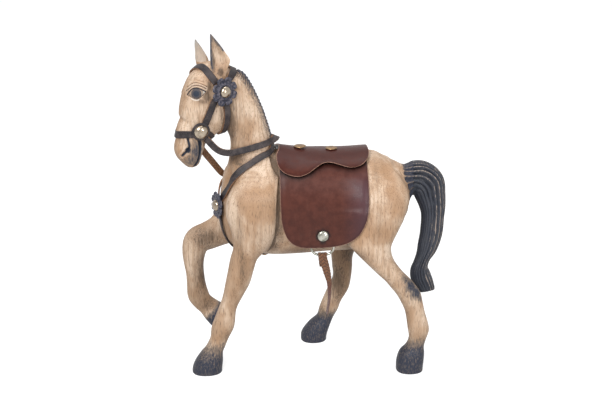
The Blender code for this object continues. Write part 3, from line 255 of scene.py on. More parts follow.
FAR_SHADES = (
    ((-102, 127), (21, 16), 0.9), ((-70, 134), (20, 14), 0.9), ((-107, 84), (9, 34), 0.8),
    ((-100, 52), (12, 10), 0.9), ((46, 112), (14, 34), 0.95), ((36, 70), (12, 30), 1),
    ((22, 34), (12, 12), 0.7),
)


def through(stations, steps):
    """Rows on a smooth curve through the stations, steps of them to each span."""
    rows = []
    padded = [stations[0], *stations, stations[-1]]
    for before, here, there, after in zip(padded, padded[1:], padded[2:], padded[3:]):
        for step in range(steps):
            t = step / steps
            rows.append(tuple(
                0.5 * (2 * b + (c - a) * t
                       + (2 * a - 5 * b + 4 * c - d) * t**2 + (3 * b - a - 3 * c + d) * t**3)
                for a, b, c, d in zip(before, here, there, after)
            ))
    rows.append(tuple(float(value) for value in stations[-1]))
    return rows


def circle(sides):
    return [2 * math.pi * k / sides for k in range(sides)]


def skin(rings):
    """Points and faces of a tube through rings of equally many points, its ends closed."""
    around = len(rings[0])
    points = [p for ring in rings for p in ring]
    faces = [tuple(range(around)), tuple(range(len(points) - around, len(points)))]
    for low in range(0, len(points) - around, around):
        for j in range(around):
            k = (j + 1) % around
            faces.append((low + j, low + k, low + around + k, low + around + j))
    return points, faces


def oval(centre, front, side, depth, width, sides, squareness=2.3):
    ring = []
    for angle in circle(sides):
        c, s = math.cos(angle), math.sin(angle)
        u = math.copysign(abs(c) ** (2 / squareness), c) * depth / 2
        v = math.copysign(abs(s) ** (2 / squareness), s) * width / 2
        ring.append(centre + front * u + side * v)
    return ring


def ways_across(rows, level=False):
    """Each row's middle, and the ways to its front and side, square to how the form runs."""
    ways = []
    for i, row in enumerate(rows):
        ahead, behind = rows[min(i + 1, len(rows) - 1)], rows[max(i - 1, 0)]
        along = Vector((0, 0, -1)) if level else (Vector(ahead[:3]) - Vector(behind[:3])).normalized()
        side = Vector((0, 1, 0))
        side = (side - along * side.dot(along)).normalized()
        ways.append((Vector(row[:3]), along.cross(side), side))
    return ways


def carved_form(stations, sides=32, level=False):
    rows = through(stations, 5)
    return [
        oval(middle, front, side, depth, width, sides)
        for (*_, depth, width), (middle, front, side) in zip(rows, ways_across(rows, level))
    ]


def turned(point):
    """A point of the straight-ahead head, carried to where the turned head has it."""
    pole = Vector((*POLL, 0))
    return Matrix.Rotation(math.radians(HEAD_TURN_DEG), 3, "Z") @ (Vector(point) - pole) + pole


def lump(centre, size, tilt_deg):
    lean = Matrix.Rotation(math.radians(tilt_deg), 3, "Y")
    front, side, up = lean @ Vector((1, 0, 0)), lean @ Vector((0, 1, 0)), lean @ Vector((0, 0, 1))
    rings = []
    for i in range(1, 16):
        polar = math.pi * i / 16
        middle = Vector(centre) + up * (size[2] / 2 * math.cos(polar))
        rings.append(oval(middle, front, side, size[0] * math.sin(polar), size[1] * math.sin(polar), 24, 2))
    return rings


def ear_form(stations, mirror):
    """A pointed leaf, hollow on the side that faces out."""
    rings = []
    low, high = stations[0][2], stations[-1][2]
    for x, y, z, width, thick in through(stations, 6):
        share = (z - low) / (high - low)
        cup = 0.36 * float(smoothstep(share, 0.12, 0.35) * (1 - smoothstep(share, 0.7, 0.95)))
        ring = []
        for angle in circle(48):
            c, s = math.cos(angle), math.sin(angle)
            out = 0.25 - 0.55 * s if s > 0 else 0.25 - 0.12 * s - cup * s**4
            ring.append(Vector((x + width / 2 * c, y - mirror * thick * out, z)))
        rings.append(ring)
    return rings


# Meshes

def mesh_from(name, points, faces):
    mesh = bpy.data.meshes.new(name)
    mesh.from_pydata([(Vector(p) - CENTRE) * MM for p in points], [], faces)
    work = bmesh.new()
    work.from_mesh(mesh)
    bmesh.ops.recalc_face_normals(work, faces=work.faces)
    work.to_mesh(mesh)
    work.free()
    return mesh


def add_object(name, data):
    obj = bpy.data.objects.new(name, data)
    bpy.context.scene.collection.objects.link(obj)
    return obj


def tube(name, rings):
    return add_object(name, mesh_from(name, *skin(rings)))


def apply_modifiers(obj):
    graph = bpy.context.evaluated_depsgraph_get()
    mesh = bpy.data.meshes.new_from_object(obj.evaluated_get(graph))
    obj.modifiers.clear()
    obj.data = mesh
    return obj


def combined(obj, other, operation="DIFFERENCE", solver="MANIFOLD", keep_other=False):
    """Cuts the other from an object, joins it on or keeps what they share."""
    cut = obj.modifiers.new("cut", "BOOLEAN")
    cut.operation = operation
    cut.object = other
    cut.solver = solver
    apply_modifiers(obj)
    if not keep_other:
        bpy.data.objects.remove(other, do_unlink=True)
    return obj


def prism(outline, low, high, place=lambda x, z, y: (x, y, z)):
    """A cutter: an outline, of the side view unless place sets it, drawn out from low to high."""
    return tube("cutter", [[Vector(place(a, b, c)) for a, b in outline] for c in (low, high)])


def vectors_of(mesh, kind):
    flat = np.empty(len(mesh.vertices) * 3, dtype=np.float32)
    mesh.vertices.foreach_get(kind, flat)
    return flat.reshape(-1, 3).astype(float)


def points_of(mesh):
    """The mesh's points in the carver's millimetres, as an array."""
    return vectors_of(mesh, "co") / MM + np.array(CENTRE)


def normals_of(mesh):
    return vectors_of(mesh, "normal")


def set_points(mesh, points):
    flat = ((points - np.array(CENTRE)) * MM).astype(np.float32).ravel()
    mesh.vertices.foreach_set("co", flat)
    mesh.update()


def push(mesh, amount):
    """Moves the mesh's points out along their normals, by one amount or one each."""
    set_points(mesh, points_of(mesh) + normals_of(mesh) * np.reshape(amount, (-1, 1)))


def store(mesh, name, values):
    """Keeps one number a point on the mesh, for its material to read."""
    layer = mesh.attributes.get(name) or mesh.attributes.new(name, "FLOAT", "POINT")
    layer.data.foreach_set("value", np.asarray(values, dtype=np.float32))


def bvh_of(mesh):
    faces = [tuple(face.vertices) for face in mesh.polygons]
    return BVHTree.FromPolygons([Vector(p) for p in points_of(mesh)], faces)


# Carving

def horse_forms():
    head, jowl = ([[turned(p) for p in ring] for ring in form] for form in (carved_form(HEAD), lump(*JOWL)))
    return [
        carved_form(BARREL, sides=48),
        carved_form(NECK),
        head,
        carved_form(LEFT_FORELEG, level=True),
        carved_form(RIGHT_FORELEG),
        carved_form(LEFT_HIND_LEG, level=True),
        carved_form(RIGHT_HIND_LEG, level=True),
        jowl,
        lump(*POLL_CROWN),
        carved_form(TAIL_STUB),
        carved_form(MANE, sides=20),
    ]


def fused(name, forms, spread):
    """One closed surface over all the forms, its creases carved round over that spread in mm."""
    points, faces = [], []
    for rings in forms:
        more, more_faces = skin(rings)
        faces += [tuple(i + len(points) for i in face) for face in more_faces]
        points += more
    rough = add_object(name, mesh_from(name, points, faces))
    remesh = rough.modifiers.new("fuse", "REMESH")
    remesh.mode = "VOXEL"
    remesh.voxel_size = VOXEL * MM
    smooth = rough.modifiers.new("carve", "SMOOTH")
    smooth.factor = 0.5
    smooth.iterations = max(1, round((spread / VOXEL) ** 2))
    return apply_modifiers(rough)


def smoothed_copy(mesh, rounds):
    """The mesh's points after that many rounds of averaging with their neighbours."""
    soft = points_of(mesh)
    edges = np.empty(len(mesh.edges) * 2, dtype=np.int32)
    mesh.edges.foreach_get("vertices", edges)
    a, b = edges[::2], edges[1::2]
    count = np.bincount(edges, minlength=len(soft))
    for _ in range(rounds):
        total = np.empty_like(soft)
        for axis in range(3):
            total[:, axis] = np.bincount(a, soft[b, axis], len(soft))
            total[:, axis] += np.bincount(b, soft[a, axis], len(soft))
        soft = 0.5 * soft + 0.5 * total / np.maximum(count, 1)[:, None]
    return soft


def refine(mesh, centres, radius):
    """Splits the faces near any of the centres finer."""
    work = bmesh.new()
    work.from_mesh(mesh)
    spots = [(Vector(c) - CENTRE) * MM for c in centres]
    near = [
        e for e in work.edges
        if any(((e.verts[0].co + e.verts[1].co) / 2 - spot).length < radius * MM for spot in spots)
    ]
    bmesh.ops.subdivide_edges(work, edges=near, cuts=1, use_grid_fill=True)
    bmesh.ops.triangulate(work, faces=[f for f in work.faces if len(f.verts) > 4])
    work.to_mesh(mesh)
    work.free()
    mesh.update()


def spaced(line, step):
    """Points along a line of x and z, about a step apart."""
    for (x0, z0), (x1, z1) in zip(line, line[1:]):
        count = max(1, round(math.hypot(x1 - x0, z1 - z0) / step))
        for k in range(count):
            yield x0 + (x1 - x0) * k / count, z0 + (z1 - z0) * k / count


def on_face(tree, route, side):
    """A line of the straight head's side view, laid on one side of the turned head."""
    inwards = turned((0, -side, 0)) - turned((0, 0, 0))
    starts = [turned((x, side * 60, z)) for x, z in spaced(through(route, 12), 0.35)]
    hits = [tree.ray_cast(start, inwards)[0] for start in starts]
    return [hit for hit in hits if hit is not None]


def ridge(distance, width):
    return np.exp(-(distance / width) ** 2)


def smoothstep(values, low, high):
    t = np.clip((values - low) / (high - low), 0, 1)
    return t * t * (3 - 2 * t)


def nearest_along(points, samples, reach):
    """Each point's distance to a line of samples, held at reach, and how far along the line that is."""
    samples = np.array([tuple(s) for s in samples])
    steps = np.linalg.norm(np.diff(samples, axis=0), axis=1)
    travelled = np.concatenate([[0], np.cumsum(steps)])
    far = np.full(len(points), float(reach))
    along = np.zeros(len(points))
    low, high = samples.min(axis=0) - reach, samples.max(axis=0) + reach
    near = np.flatnonzero(np.all((points > low) & (points < high), axis=1))
    for start in range(0, len(near), 4000):
        part = near[start:start + 4000]
        gaps = np.linalg.norm(points[part][:, None, :] - samples[None], axis=2)
        best = gaps.argmin(axis=1)
        far[part] = np.minimum(reach, gaps[np.arange(len(part)), best])
        along[part] = travelled[best]
    return far, along


def distance_to(points, samples, reach):
    return nearest_along(points, samples, reach)[0]


def straight(points):
    """The points as the straight-ahead head would have them."""
    angle = math.radians(-HEAD_TURN_DEG)
    c, s = math.cos(angle), math.sin(angle)
    x, y = points[:, 0] - POLL[0], points[:, 1] - POLL[1]
    return np.column_stack([x * c - y * s + POLL[0], x * s + y * c + POLL[1], points[:, 2]])


def inside(x, z, outline):
    """Which points of a side view lie inside a closed outline."""
    within = np.zeros(len(x), dtype=bool)
    for (x0, z0), (x1, z1) in zip(outline, outline[1:] + outline[:1]):
        if z0 != z1:
            crosses = (z0 > z) != (z1 > z)
            within ^= crosses & (x < (x1 - x0) * (z - z0) / (z1 - z0) + x0)
    return within


def soft_spots(points, rows):
    """How strongly the strongest of these soft spots of the side view shows at each point."""
    shown = np.zeros(len(points))
    for (x, z), (wide, tall), strength in rows:
        gap = np.hypot((points[:, 0] - x) / wide, (points[:, 2] - z) / tall)
        shown = np.maximum(shown, strength * ridge(gap, 1))
    return shown


def lay_on(paint, name, *coats):
    for coat in coats:
        paint[name] = np.maximum(paint[name], coat)


def carve_face(mesh, paint):
    """Cuts the eyes, nostrils and mouth into the head, and notes where their paint goes."""
    tree = bvh_of(mesh)
    points = points_of(mesh)
    head = straight(points)
    x, y, z = head.T
    depth = np.zeros(len(points))
    almond = through(FACE_LINES["upper"], 6) + through(FACE_LINES["lower"], 6)[::-1]
    for side in (-1, 1):
        near = {name: distance_to(points, on_face(tree, line, side), 8) for name, line in FACE_LINES.items()}
        iris, hole, glint = (
            distance_to(points, on_face(tree, (spot, (spot[0] + 0.1, spot[1])), side), 12)
            for spot in (IRIS, NOSTRIL_HOLE, GLINT)
        )
        eye = inside(x, z, almond) & (y * side > 3)
        lines = 1.2 * ridge(hole, 3)
        for name, (cut, cut_width, ink, ink_width) in FACE_CUTS.items():
            depth -= cut * ridge(near[name], cut_width)
            lines = np.maximum(lines, ink * ridge(near[name], ink_width))
        depth += 0.6 * ridge(iris, 4.5) * eye - 2.4 * ridge(hole, 2.8)
        depth += (0.35 * ridge(near["upper"] - 1.3, 0.8) + 0.2 * ridge(near["lower"] - 1.2, 0.8)) * ~eye
        depth += 0.7 * ridge(near["nostril"] - 2.6, 1.3) * (x < NOSTRIL_WING)
        depth += 0.4 * ridge(near["mouth"] - 2.2, 1.1)
        disc = 0.62 * (1 - smoothstep(iris, IRIS_RADIUS - 0.5, IRIS_RADIUS + 0.5)) * eye
        disc += 0.3 * (1 - smoothstep(iris, PUPIL_RADIUS - 1, PUPIL_RADIUS + 1)) * eye
        eye_white = (0.1 + 0.6 * smoothstep(x, -106, -104)) * eye
        lower_rim = 0.8 * ridge(near["lower"] - 0.9, 0.5) * ~eye * (np.abs(x + 112.2) < 3.4)
        fold_highlight = 0.25 * ridge(near["fold"] - 1.1, 0.45)
        cheek = y * side > 2
        lay_on(paint, "ink", disc, lines)
        # White paint of the eyes and lids, with painted highlights beside the brow fold and on the iris.
        lay_on(paint, "white", eye_white, lower_rim, fold_highlight, 1.6 * (1 - smoothstep(glint, 0.35, 0.75)))
        # Painted shade over the face's spots, and grey over the eye.
        lay_on(paint, "shade", 0.75 * eye, soft_spots(head, FACE_SHADES) * cheek)
        lay_on(paint, "stain", soft_spots(head, FACE_STAINS) * cheek)
    push(mesh, depth)


def carve_mane(mesh, paint):
    """Slanting locks down both sides of the crest."""
    crest = [Vector(row[:3]) + Vector((3.2, 0, 1.2)) for row in through(MANE, 24)]
    away, along = nearest_along(points_of(mesh), crest, 14)
    locks = np.sin(2 * math.pi * (along / 3.6 - away * 0.5))
    push(mesh, 0.7 * locks * (1 - smoothstep(away, 5, 9)))
    drawn = 1 - smoothstep(away + 1.8 * locks, 3.5, 11)
    gaps = 0.75 * (0.5 + 0.5 * locks) ** 1.5 * smoothstep(away, 1, 4.5)
    lay_on(paint, "stain", drawn * (1 - gaps))


def dark_ends(points):
    """Coats of stain: dark hooves that fade out up the pasterns, the tail's root, dark ears and hock."""
    x, y, z = points.T
    for low, high, box in HOOF_STAINS:
        within = np.all([(values > a) & (values < b) for values, (a, b) in zip((x, y, z), box)], axis=0)
        yield (1 - smoothstep(z, low, high)) * within
    raised = (y > 12) & (x < -80) & (z < 56)
    yield smoothstep(x * RAISED_WAY[0] + z * RAISED_WAY[1], *RAISED_FADE) * raised
    reach, locks = root_locks(points)
    yield 1.4 * reach * (1 - 0.7 * locks**10 * (z > 182))
    for route, width, strength in EAR_LINES:
        yield strength * ridge(distance_to(points, through(route, 12), 6), width)
    for spot, reach, strength in STAIN_SPOTS:
        yield strength * ridge(np.linalg.norm(points - np.array(spot), axis=1), reach)


def painted_side_shade(points):
    """The painted shade of the near side and of the far side, partly brown patina."""
    for side, rows in ((-1, NEAR_SHADES), (1, FAR_SHADES)):
        yield soft_spots(points, rows) * smoothstep(points[:, 1] * side, 0, 8)


def root_locks(points):
    """How far each point is within the tail's root, and how high up one of its locks."""
    x, y, z = points.T
    angle = np.arctan2(y / ROOT_HALF[0], (z - ROOT_Z) / ROOT_HALF[1])
    reach = smoothstep(x, *TAIL_STAIN_FROM) * smoothstep(z, 172, 177) * (z < 216) * (np.abs(y) < 17)
    return reach, np.abs(np.sin(TAIL_LOCKS * angle))


def carve_tail_root(mesh):
    """The tail's locks, cut on from the tail over the end of the rump."""
    points = points_of(mesh)
    reach, locks = root_locks(points)
    swell = 1.3 * smoothstep(points[:, 0], 97, 105)
    push(mesh, reach * (swell - 1.5 * (1 - locks) ** 1.2))


def smooth_rump(mesh):
    """Rounds the haunches into the barrel behind the saddle."""
    points = points_of(mesh)
    x, _, z = points.T
    reach = smoothstep(x, 60, 76) * (1 - smoothstep(x, 103, 108)) * smoothstep(z, 136, 156)
    moved = points + (smoothed_copy(mesh, RUMP_ROUNDS) - points) * reach[:, None]
    moved[:, 2] += (2.6 * ridge(x - 89, 7) - 1.3 * ridge(x - 78, 6)) * smoothstep(z, 186, 200)
    moved[:, 0] -= 2.6 * ridge(z - 165, 7) * smoothstep(x, 92, 104)
    set_points(mesh, moved)


def shoulder_step(points):
    """How far the near shoulder stands out from the barrel, and the barrel in behind its edge."""
    x, y, z = points.T
    heights, edge = zip(*SHOULDER_EDGE)
    behind = smoothstep(x - np.interp(z, heights, edge), -0.7, 0.6)
    low = np.clip((z - 124) / 14, 0, 1)
    proud = SHOULDER_PROUD * smoothstep(x, -78, -42) * smoothstep(-z, -203, -186) * (1 - behind)
    sunk = SHOULDER_SUNK * behind * (1 - smoothstep(x, -27, -17))
    return (proud - sunk) * low * smoothstep(-y, 9, 18)


def carve_horse():
    """The whole horse in one surface, with what its paint needs to know at each point."""
    horse = fused("carving", horse_forms(), CREASE_SPREAD)
    mesh = horse.data
    for side in (-1, 1):
        for spots, reach in FINE_SPOTS:
            refine(mesh, [turned((x, side * y, z)) for x, y, z in spots], reach)
    refine(mesh, [row[:3] for row in MANE], MANE_REACH)
    smooth_rump(mesh)
    paint = {name: np.zeros(len(mesh.vertices)) for name in ("ink", "white", "stain", "shade")}
    carve_face(mesh, paint)
    carve_mane(mesh, paint)
    carve_tail_root(mesh)
    tree = bvh_of(mesh)
    push(mesh, shoulder_step(points_of(mesh)))
    source = (points_of(mesh), paint)
    for stations, mirror in ((LEFT_EAR, 1), (RIGHT_EAR, -1)):
        combined(horse, tube("ear", ear_form(stations, mirror)), "UNION")
    combined(horse, prism(GROUND, -99, 99))
    mesh = horse.data
    points = points_of(mesh)
    paint = inherited(source, points)
    lay_on(paint, "stain", *dark_ends(points))
    # Painted shade where each side lies in shadow, partly brown patina.
    lay_on(paint, "shade", *painted_side_shade(points))
    lay_on(paint, "white", 0.45 * ((points[:, 0] < -95) & (points[:, 1] > 8) & (points[:, 2] > 312)))
    # How far each point lies in a recess: the wood paints the recesses darker by it, as painted shade and
    # patina.
    sunk = np.einsum("ij,ij->i", smoothed_copy(mesh, HOLLOW_ROUNDS) - points, normals_of(mesh))
    paint["hollow"] = sunk * (points[:, 2] < EAR_FOOT)
    return horse, paint, tree


def inherited(source, points):
    """The source's paint at other points: that of the nearest of its own."""
    places, paint = source
    tree = KDTree(len(places))
    for i, place in enumerate(places):
        tree.insert(place, i)
    tree.balance()
    nearest = np.array([tree.find(p)[1] for p in points])
    return {name: values[nearest] for name, values in paint.items()}


def take_paint(obj, source):
    for name, values in inherited(source, points_of(obj.data)).items():
        store(obj.data, name, values)


def leg_cutter(side, front_top, front_floor, rear):
    """A cutter for one leg's block: a wide foot, and a narrower part let into the flank."""
    inner_high, inner_low, outer = side * LEG_INNER_HIGH, side * LEG_INNER_LOW, side * LEG_OUTER
    outline = (
        (-5, inner_low), (LEG_STEP, inner_low), (LEG_STEP, inner_high),
        (LEG_TOP, inner_high), (LEG_TOP, outer), (-5, outer),
    )

    def place(z, y, end):
        front = front_floor + (front_top - front_floor) * z / LEG_TOP
        return (rear if end else front, y, z)
    return prism(outline, 0, 1, place)


def saw_blocks(horse, paint):
    """Saws the carved horse into the part's blocks, each closed and keeping its paint."""
    source = (points_of(horse.data), paint)
    cutters = {"neck_head": prism(NECK_CUT, -60, 60)}
    for name, sizes in LEG_BLOCKS.items():
        cutters[name] = leg_cutter(*sizes)
    blocks = {}
    for name, cutter in cutters.items():
        block = add_object("carved_" + name, horse.data.copy())
        blocks[name] = combined(block, cutter, "INTERSECT", keep_other=True)
        combined(horse, cutter)
    combined(horse, prism(TAIL_CUT, -13, 13))
    horse.name = "carved_torso"
    blocks["torso"] = horse
    for name, block in blocks.items():
        take_paint(block, source)
        dress(block, "wood", name, 50)
    return blocks


def carve_tail(leg):
    """The tail with its locks, cut back one glue line from the hock that it lies against."""
    rows = through(TAIL, TAIL_STEPS)
    ways = ways_across(rows)
    # The root faces straight ahead, as it is cut.
    ways[0] = (ways[0][0], Vector((0, 0, 1)), Vector((0, 1, 0)))
    rings, ridges = [], []
    for i, ((*_, depth, width), (middle, front, side)) in enumerate(zip(rows, ways)):
        span = i / TAIL_STEPS
        loose = min(1, span / 2)
        ring = []
        for angle in circle(TAIL_SIDES):
            c, s = math.cos(angle), math.sin(angle)
            wave = loose * (0.35 * math.sin(0.9 * span + 2 * angle) + 0.12 * span)
            hair = abs(math.sin(TAIL_LOCKS * angle + wave + loose * 1.1 * math.sin(3 * angle + 0.7)))
            groove = 1 - (0.03 + 0.13 * float(smoothstep(c, -0.8, 0.1))) * (1 - hair) ** 1.2
            band = math.exp(-((span - 5.4) / 1.6) ** 2 - ((s + 0.97) / 0.07) ** 2)
            ridges.append(hair**7 * (0.25 + 0.75 * float(smoothstep(c, -0.1, 0.5))) + 0.45 * band)
            ring.append(middle + front * (c * depth / 2 * groove) + side * (s * width / 2 * groove))
        rings.append(ring)
    tail = tube("carved_tail", rings)
    source = (points_of(tail.data), {"ridge": np.array(ridges)})
    hock = add_object("hock", leg.data.copy())
    push(hock.data, HOCK_GAP)
    combined(tail, hock, solver="EXACT")
    take_paint(tail, source)
    dress(tail, "tail", "tail", 50)


# Leather

LEATHER_THICK, SADDLE_LIFT = 1.8, 1.0
SEAT_LIFT = SADDLE_LIFT + LEATHER_THICK + 0.65
FLAP_FRONT, FLAP_LOW, FLAP_REAR = -28, 6, 57.5
FLAP_TOP, FLAP_BOTTOM = 196, 138.3
FLAP_FRONT_CORNER, FLAP_REAR_CORNER = 3.6, 2.9
FLAP_LEAN = 0.1
SHEET_TOP = 260
EDGE_ROUND = 0.4
BARREL_AXIS = 172
RAY_STEP = math.radians(7.5)
HUNG_FROM = 12
SEAT_FRONT, SEAT_REAR = -30, 61
SEAT_EDGE = (
    (-26.5, 231), (-27.6, 229), (-29.8, 226.6), (-30.4, 222.5), (-29.6, 218.4), (-26.6, 214), (-21, 210.6),
    (-11, 208.4), (-2, 210.3), (6, 214.6), (12, 217.4), (18, 218.7), (25, 218), (33, 216), (41, 214.6),
    (49, 215.6), (55, 218.4), (60, 223.6), (60.8, 227), (59.4, 229.4), (57.5, 231),
)
RIVETS = ("left_flap_rivet", "right_flap_rivet")


def drape(tree, x, side, lift):
    """A sheet's inner face at one x, as distances from the barrel's axis, one angle apart."""
    axis = Vector((x, 0, BARREL_AXIS))
    column = []
    for k in range(HUNG_FROM + 5):
        out = Vector((0, side * math.sin(k * RAY_STEP), math.cos(k * RAY_STEP)))
        hit = tree.ray_cast(axis + out * 80, -out)[0]
        if k <= HUNG_FROM:
            column.append((hit - axis).length + lift)
        else:
            column[-1] = max(column[-1], side * hit.y - FLAP_LEAN * (BARREL_AXIS - hit.z) + lift)
    return column


def drapes(tree, stations, side, lift):
    """Columns of a sheet, stretched smooth over what lies beneath, some to each station."""
    columns = [drape(tree, x, side, lift) for x in stations]
    for _ in range(3):
        smooth = []
        for i, column in enumerate(columns):
            before, after = columns[max(i - 1, 0)], columns[min(i + 1, len(columns) - 1)]
            smooth.append([max(r, (a + 2 * r + b) / 4) for a, r, b in zip(before, column, after)])
        columns = smooth
    return through([tuple(column) for column in columns], SHEET_STEPS)


def hung(column, side, edge, count):
    """Points down one side of a column to its edge's height, evenly apart, top first."""
    line = [
        (side * r * math.sin(k * RAY_STEP), BARREL_AXIS + r * math.cos(k * RAY_STEP))
        for k, r in enumerate(column)
    ]
    line += [(line[-1][0] + side * FLAP_LEAN * d, BARREL_AXIS - d) for d in (10, 20, 30, 40, 50)]
    fine = [Vector(p) for p in through(line, 12) if p[1] > edge]
    return [fine[round((len(fine) - 1) * k / (count - 1))] for k in range(count)]


def saddle_sheet(name, tree, low, high, outline, lift, columns, count):
    """A sheet of leather over the back, cut to an outline of x and z, and how long it is across."""
    stations, fine_x = (
        [low + (high - low) * i / parts for i in range(parts + 1)]
        for parts in (columns, columns * SHEET_STEPS)
    )
    left_columns, right_columns = (drapes(tree, stations, side, lift) for side in (-1, 1))
    bottom = min(z for _, z in outline) - 2
    rings = []
    across = 0
    for x, left, right in zip(fine_x, left_columns, right_columns):
        line = hung(left, -1, bottom, count)[::-1] + hung(right, 1, bottom, count)[1:]
        across = max(across, sum((b - a).length for a, b in zip(line, line[1:])))
        outer = []
        for j, p in enumerate(line):
            along = (line[min(j + 1, len(line) - 1)] - line[max(j - 1, 0)]).normalized()
            outer.append(p + Vector((-along.y, along.x)) * LEATHER_THICK)
        rings.append([Vector((x, p.x, p.y)) for p in line + outer[::-1]])
    return combined(tube(name, rings), prism(outline, -80, 80), "INTERSECT"), across


def flap_outline():
    points = [(FLAP_REAR, SHEET_TOP), (FLAP_FRONT, SHEET_TOP)]
    for k in range(73):
        angle = math.pi * k / 72
        front = angle < math.pi / 2
        reach = FLAP_LOW - FLAP_FRONT if front else FLAP_REAR - FLAP_LOW
        power = 2 / (FLAP_FRONT_CORNER if front else FLAP_REAR_CORNER)
        along = math.copysign(abs(math.cos(angle)) ** power, -math.cos(angle)) * reach
        points.append((FLAP_LOW + along, FLAP_TOP - (FLAP_TOP - FLAP_BOTTOM) * math.sin(angle) ** power))
    return points


def seat_outline():
    return [(SEAT_EDGE[-1][0], SHEET_TOP), (SEAT_EDGE[0][0], SHEET_TOP), *through(SEAT_EDGE, 8)]


def rim_distance(points, outline):
    """How far each point of a sheet is from the cut outline, in the side view."""
    samples = [(x, 0, z) for x, z in spaced(outline + outline[:1], 0.7)]
    return distance_to(points * (1, 0, 1), samples, 12)


def round_edges(obj):
    bevel = obj.modifiers.new("edge", "BEVEL")
    bevel.width = EDGE_ROUND * MM
    bevel.segments = 3
    bevel.limit_method = "ANGLE"
    bevel.angle_limit = math.radians(50)
    apply_modifiers(obj)


def shape_flaps(points, rim):
    """Turns the flaps' edges in, swells them over the thighs and lifts them off the rings."""
    x, y, z = points.T
    curl = 0.8 * (1 - smoothstep(rim, 0, 5.5)) * smoothstep(-z, -212, -200) * smoothstep(z, 147, 157)
    curl -= 0.9 * smoothstep(-z, -146, -139.5) * ridge(x - 7, 22)
    thigh = 1.2 * ridge(x - 51, 13) * ridge(z - 186, 26)
    points[:, 1] += np.sign(y) * (thigh - curl)


def shape_seat(points, rim):
    """Lifts the seat's lobes off the flaps."""
    x, y, z = points.T
    off = (3.2 - 1.4 * smoothstep(x, -5, 45)) * (1 - smoothstep(rim, 0, 15)) * (1 - smoothstep(z, 219, 227))
    points[:, 1] += np.sign(y) * off
    points[:, 2] += 0.3 * off


def flap_painted_shadow(points, seat_line):
    """Painted shadow: dark under the seat's edge, round the rivets, and a little darker towards the lower
    edge.
    """
    lower = 0.18 * smoothstep(-points[:, 2], -190, -160)
    painted_shadow = np.maximum(ridge(rim_distance(points, seat_line), 4), lower)
    for node in RIVETS:
        gap = np.linalg.norm(points - np.array(spindle(node)[0]), axis=1)
        painted_shadow = np.maximum(painted_shadow, 0.9 * (1 - smoothstep(gap, 6.6, 7.8)))
    return painted_shadow


def make_saddle(tree):
    flap_line, seat_line = flap_outline(), seat_outline()
    flaps, flaps_across = saddle_sheet(
        "leather_flaps", tree, FLAP_FRONT - 1, FLAP_REAR + 1, flap_line, SADDLE_LIFT, 9, 48)
    seat, seat_across = saddle_sheet(
        "leather_seat", tree, SEAT_FRONT - 1, SEAT_REAR + 1, seat_line, SEAT_LIFT, 8, 30)
    for sheet, outline, shape in ((flaps, flap_line, shape_flaps), (seat, seat_line, shape_seat)):
        round_edges(sheet)
        points = points_of(sheet.data)
        rim = rim_distance(points, outline)
        shape(points, rim)
        set_points(sheet.data, points)
        x, _, z = points.T
        store(sheet.data, "rim", rim)
        # Where the painted sheen goes: the rear of the sheets, below the top.
        store(sheet.data, "painted_sheen", smoothstep(x, 28, 56) * smoothstep(-z, -215, -195))
        # Darker towards the top.
        store(sheet.data, "darker_top", smoothstep(z, 206, 226))
        # Painted shadow on the flaps: under the seat's edge, round the rivets and towards the bottom.
        painted_shadow = flap_painted_shadow(points, seat_line) if sheet is flaps else np.zeros(len(points))
        store(sheet.data, "painted_shadow", painted_shadow)
    dress(flaps, "flaps", "saddle_flaps", 60)
    dress(seat, "seat", "saddle_seat", 60)


# Studs, nails and flowers

SHANK_RADIUS = 1.2
RIVET_HEIGHT = 2.3
PIN_RADIUS = 1.5
# Rows of a leather flower from its back round the rim to its middle: share of the radius, height.
FLOWER_ROWS = (
    (0.16, 0), (0.4, 0), (0.7, 0.05), (0.9, 0.3), (0.98, 0.7), (1, 1.2), (0.99, 1.7), (0.96, 2.1),
    (0.9, 2.35), (0.82, 2.2), (0.74, 1.7), (0.68, 1.35), (0.62, 1.6), (0.56, 2.2), (0.5, 2.5), (0.43, 2.2),
    (0.34, 1.6), (0.16, 1.5),
)
WASHER = ((0, 2), (0, 8), (0.1, 8.7), (0.5, 9), (1, 8.8), (1.25, 8.2), (1.3, 6.8), (1.3, 2))


def node_points(name):
    """A CAD node's points in the carver's millimetres."""
    return points_of(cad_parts[name].data)


def spindle(name):
    """A round node's middle, its axis pointing the way its wide end faces, and its ends along it."""
    points = np.unique(np.round(node_points(name), 3), axis=0)
    middle = points.mean(axis=0)
    spread, ways = np.linalg.eigh(np.cov((points - middle).T))
    axis = ways[:, 2] if spread[2] - spread[1] > spread[1] - spread[0] else ways[:, 0]
    heights = (points - middle) @ axis
    radii = np.linalg.norm(points - middle - heights[:, None] * axis, axis=1)
    if np.cov(heights, radii)[0, 1] < 0:
        axis, heights = -axis, -heights
    return Vector(middle), Vector(axis), heights.min(), heights.max()


def turned_piece(name, base, axis, profile, sides=40):
    across = axis.orthogonal().normalized()
    rings = [oval(base + axis * h, across, axis.cross(across), 2 * r, 2 * r, sides, 2) for h, r in profile]
    return tube(name, rings)


def dome_rows(radius, height):
    """A domed head, from its flat underside up to the top."""
    rows = [(0, SHANK_RADIUS + 0.1), (0, radius * 0.95), (0.12, radius * 0.985), (0.32, radius)]
    rows.append((0.5, radius * 0.985))
    for k in range(1, 11):
        angle = math.pi / 2 * k / 10.5
        rows.append((0.5 + (height - 0.5) * math.sin(angle), radius * 0.985 * math.cos(angle)))
    return rows


def make_stud(node, radius, height, look, raised=0.0):
    """A domed head on a pointed shank."""
    middle, axis, low, high = spindle(node)
    base = middle + axis * (high - height + raised)
    point = low + height - high
    rows = [(point, 0.25), (point + 2, SHANK_RADIUS), (-0.1, SHANK_RADIUS)]
    dress(turned_piece("polished_" + node, base, axis, rows + dome_rows(radius, height)), look, node, 40)
    return base, axis


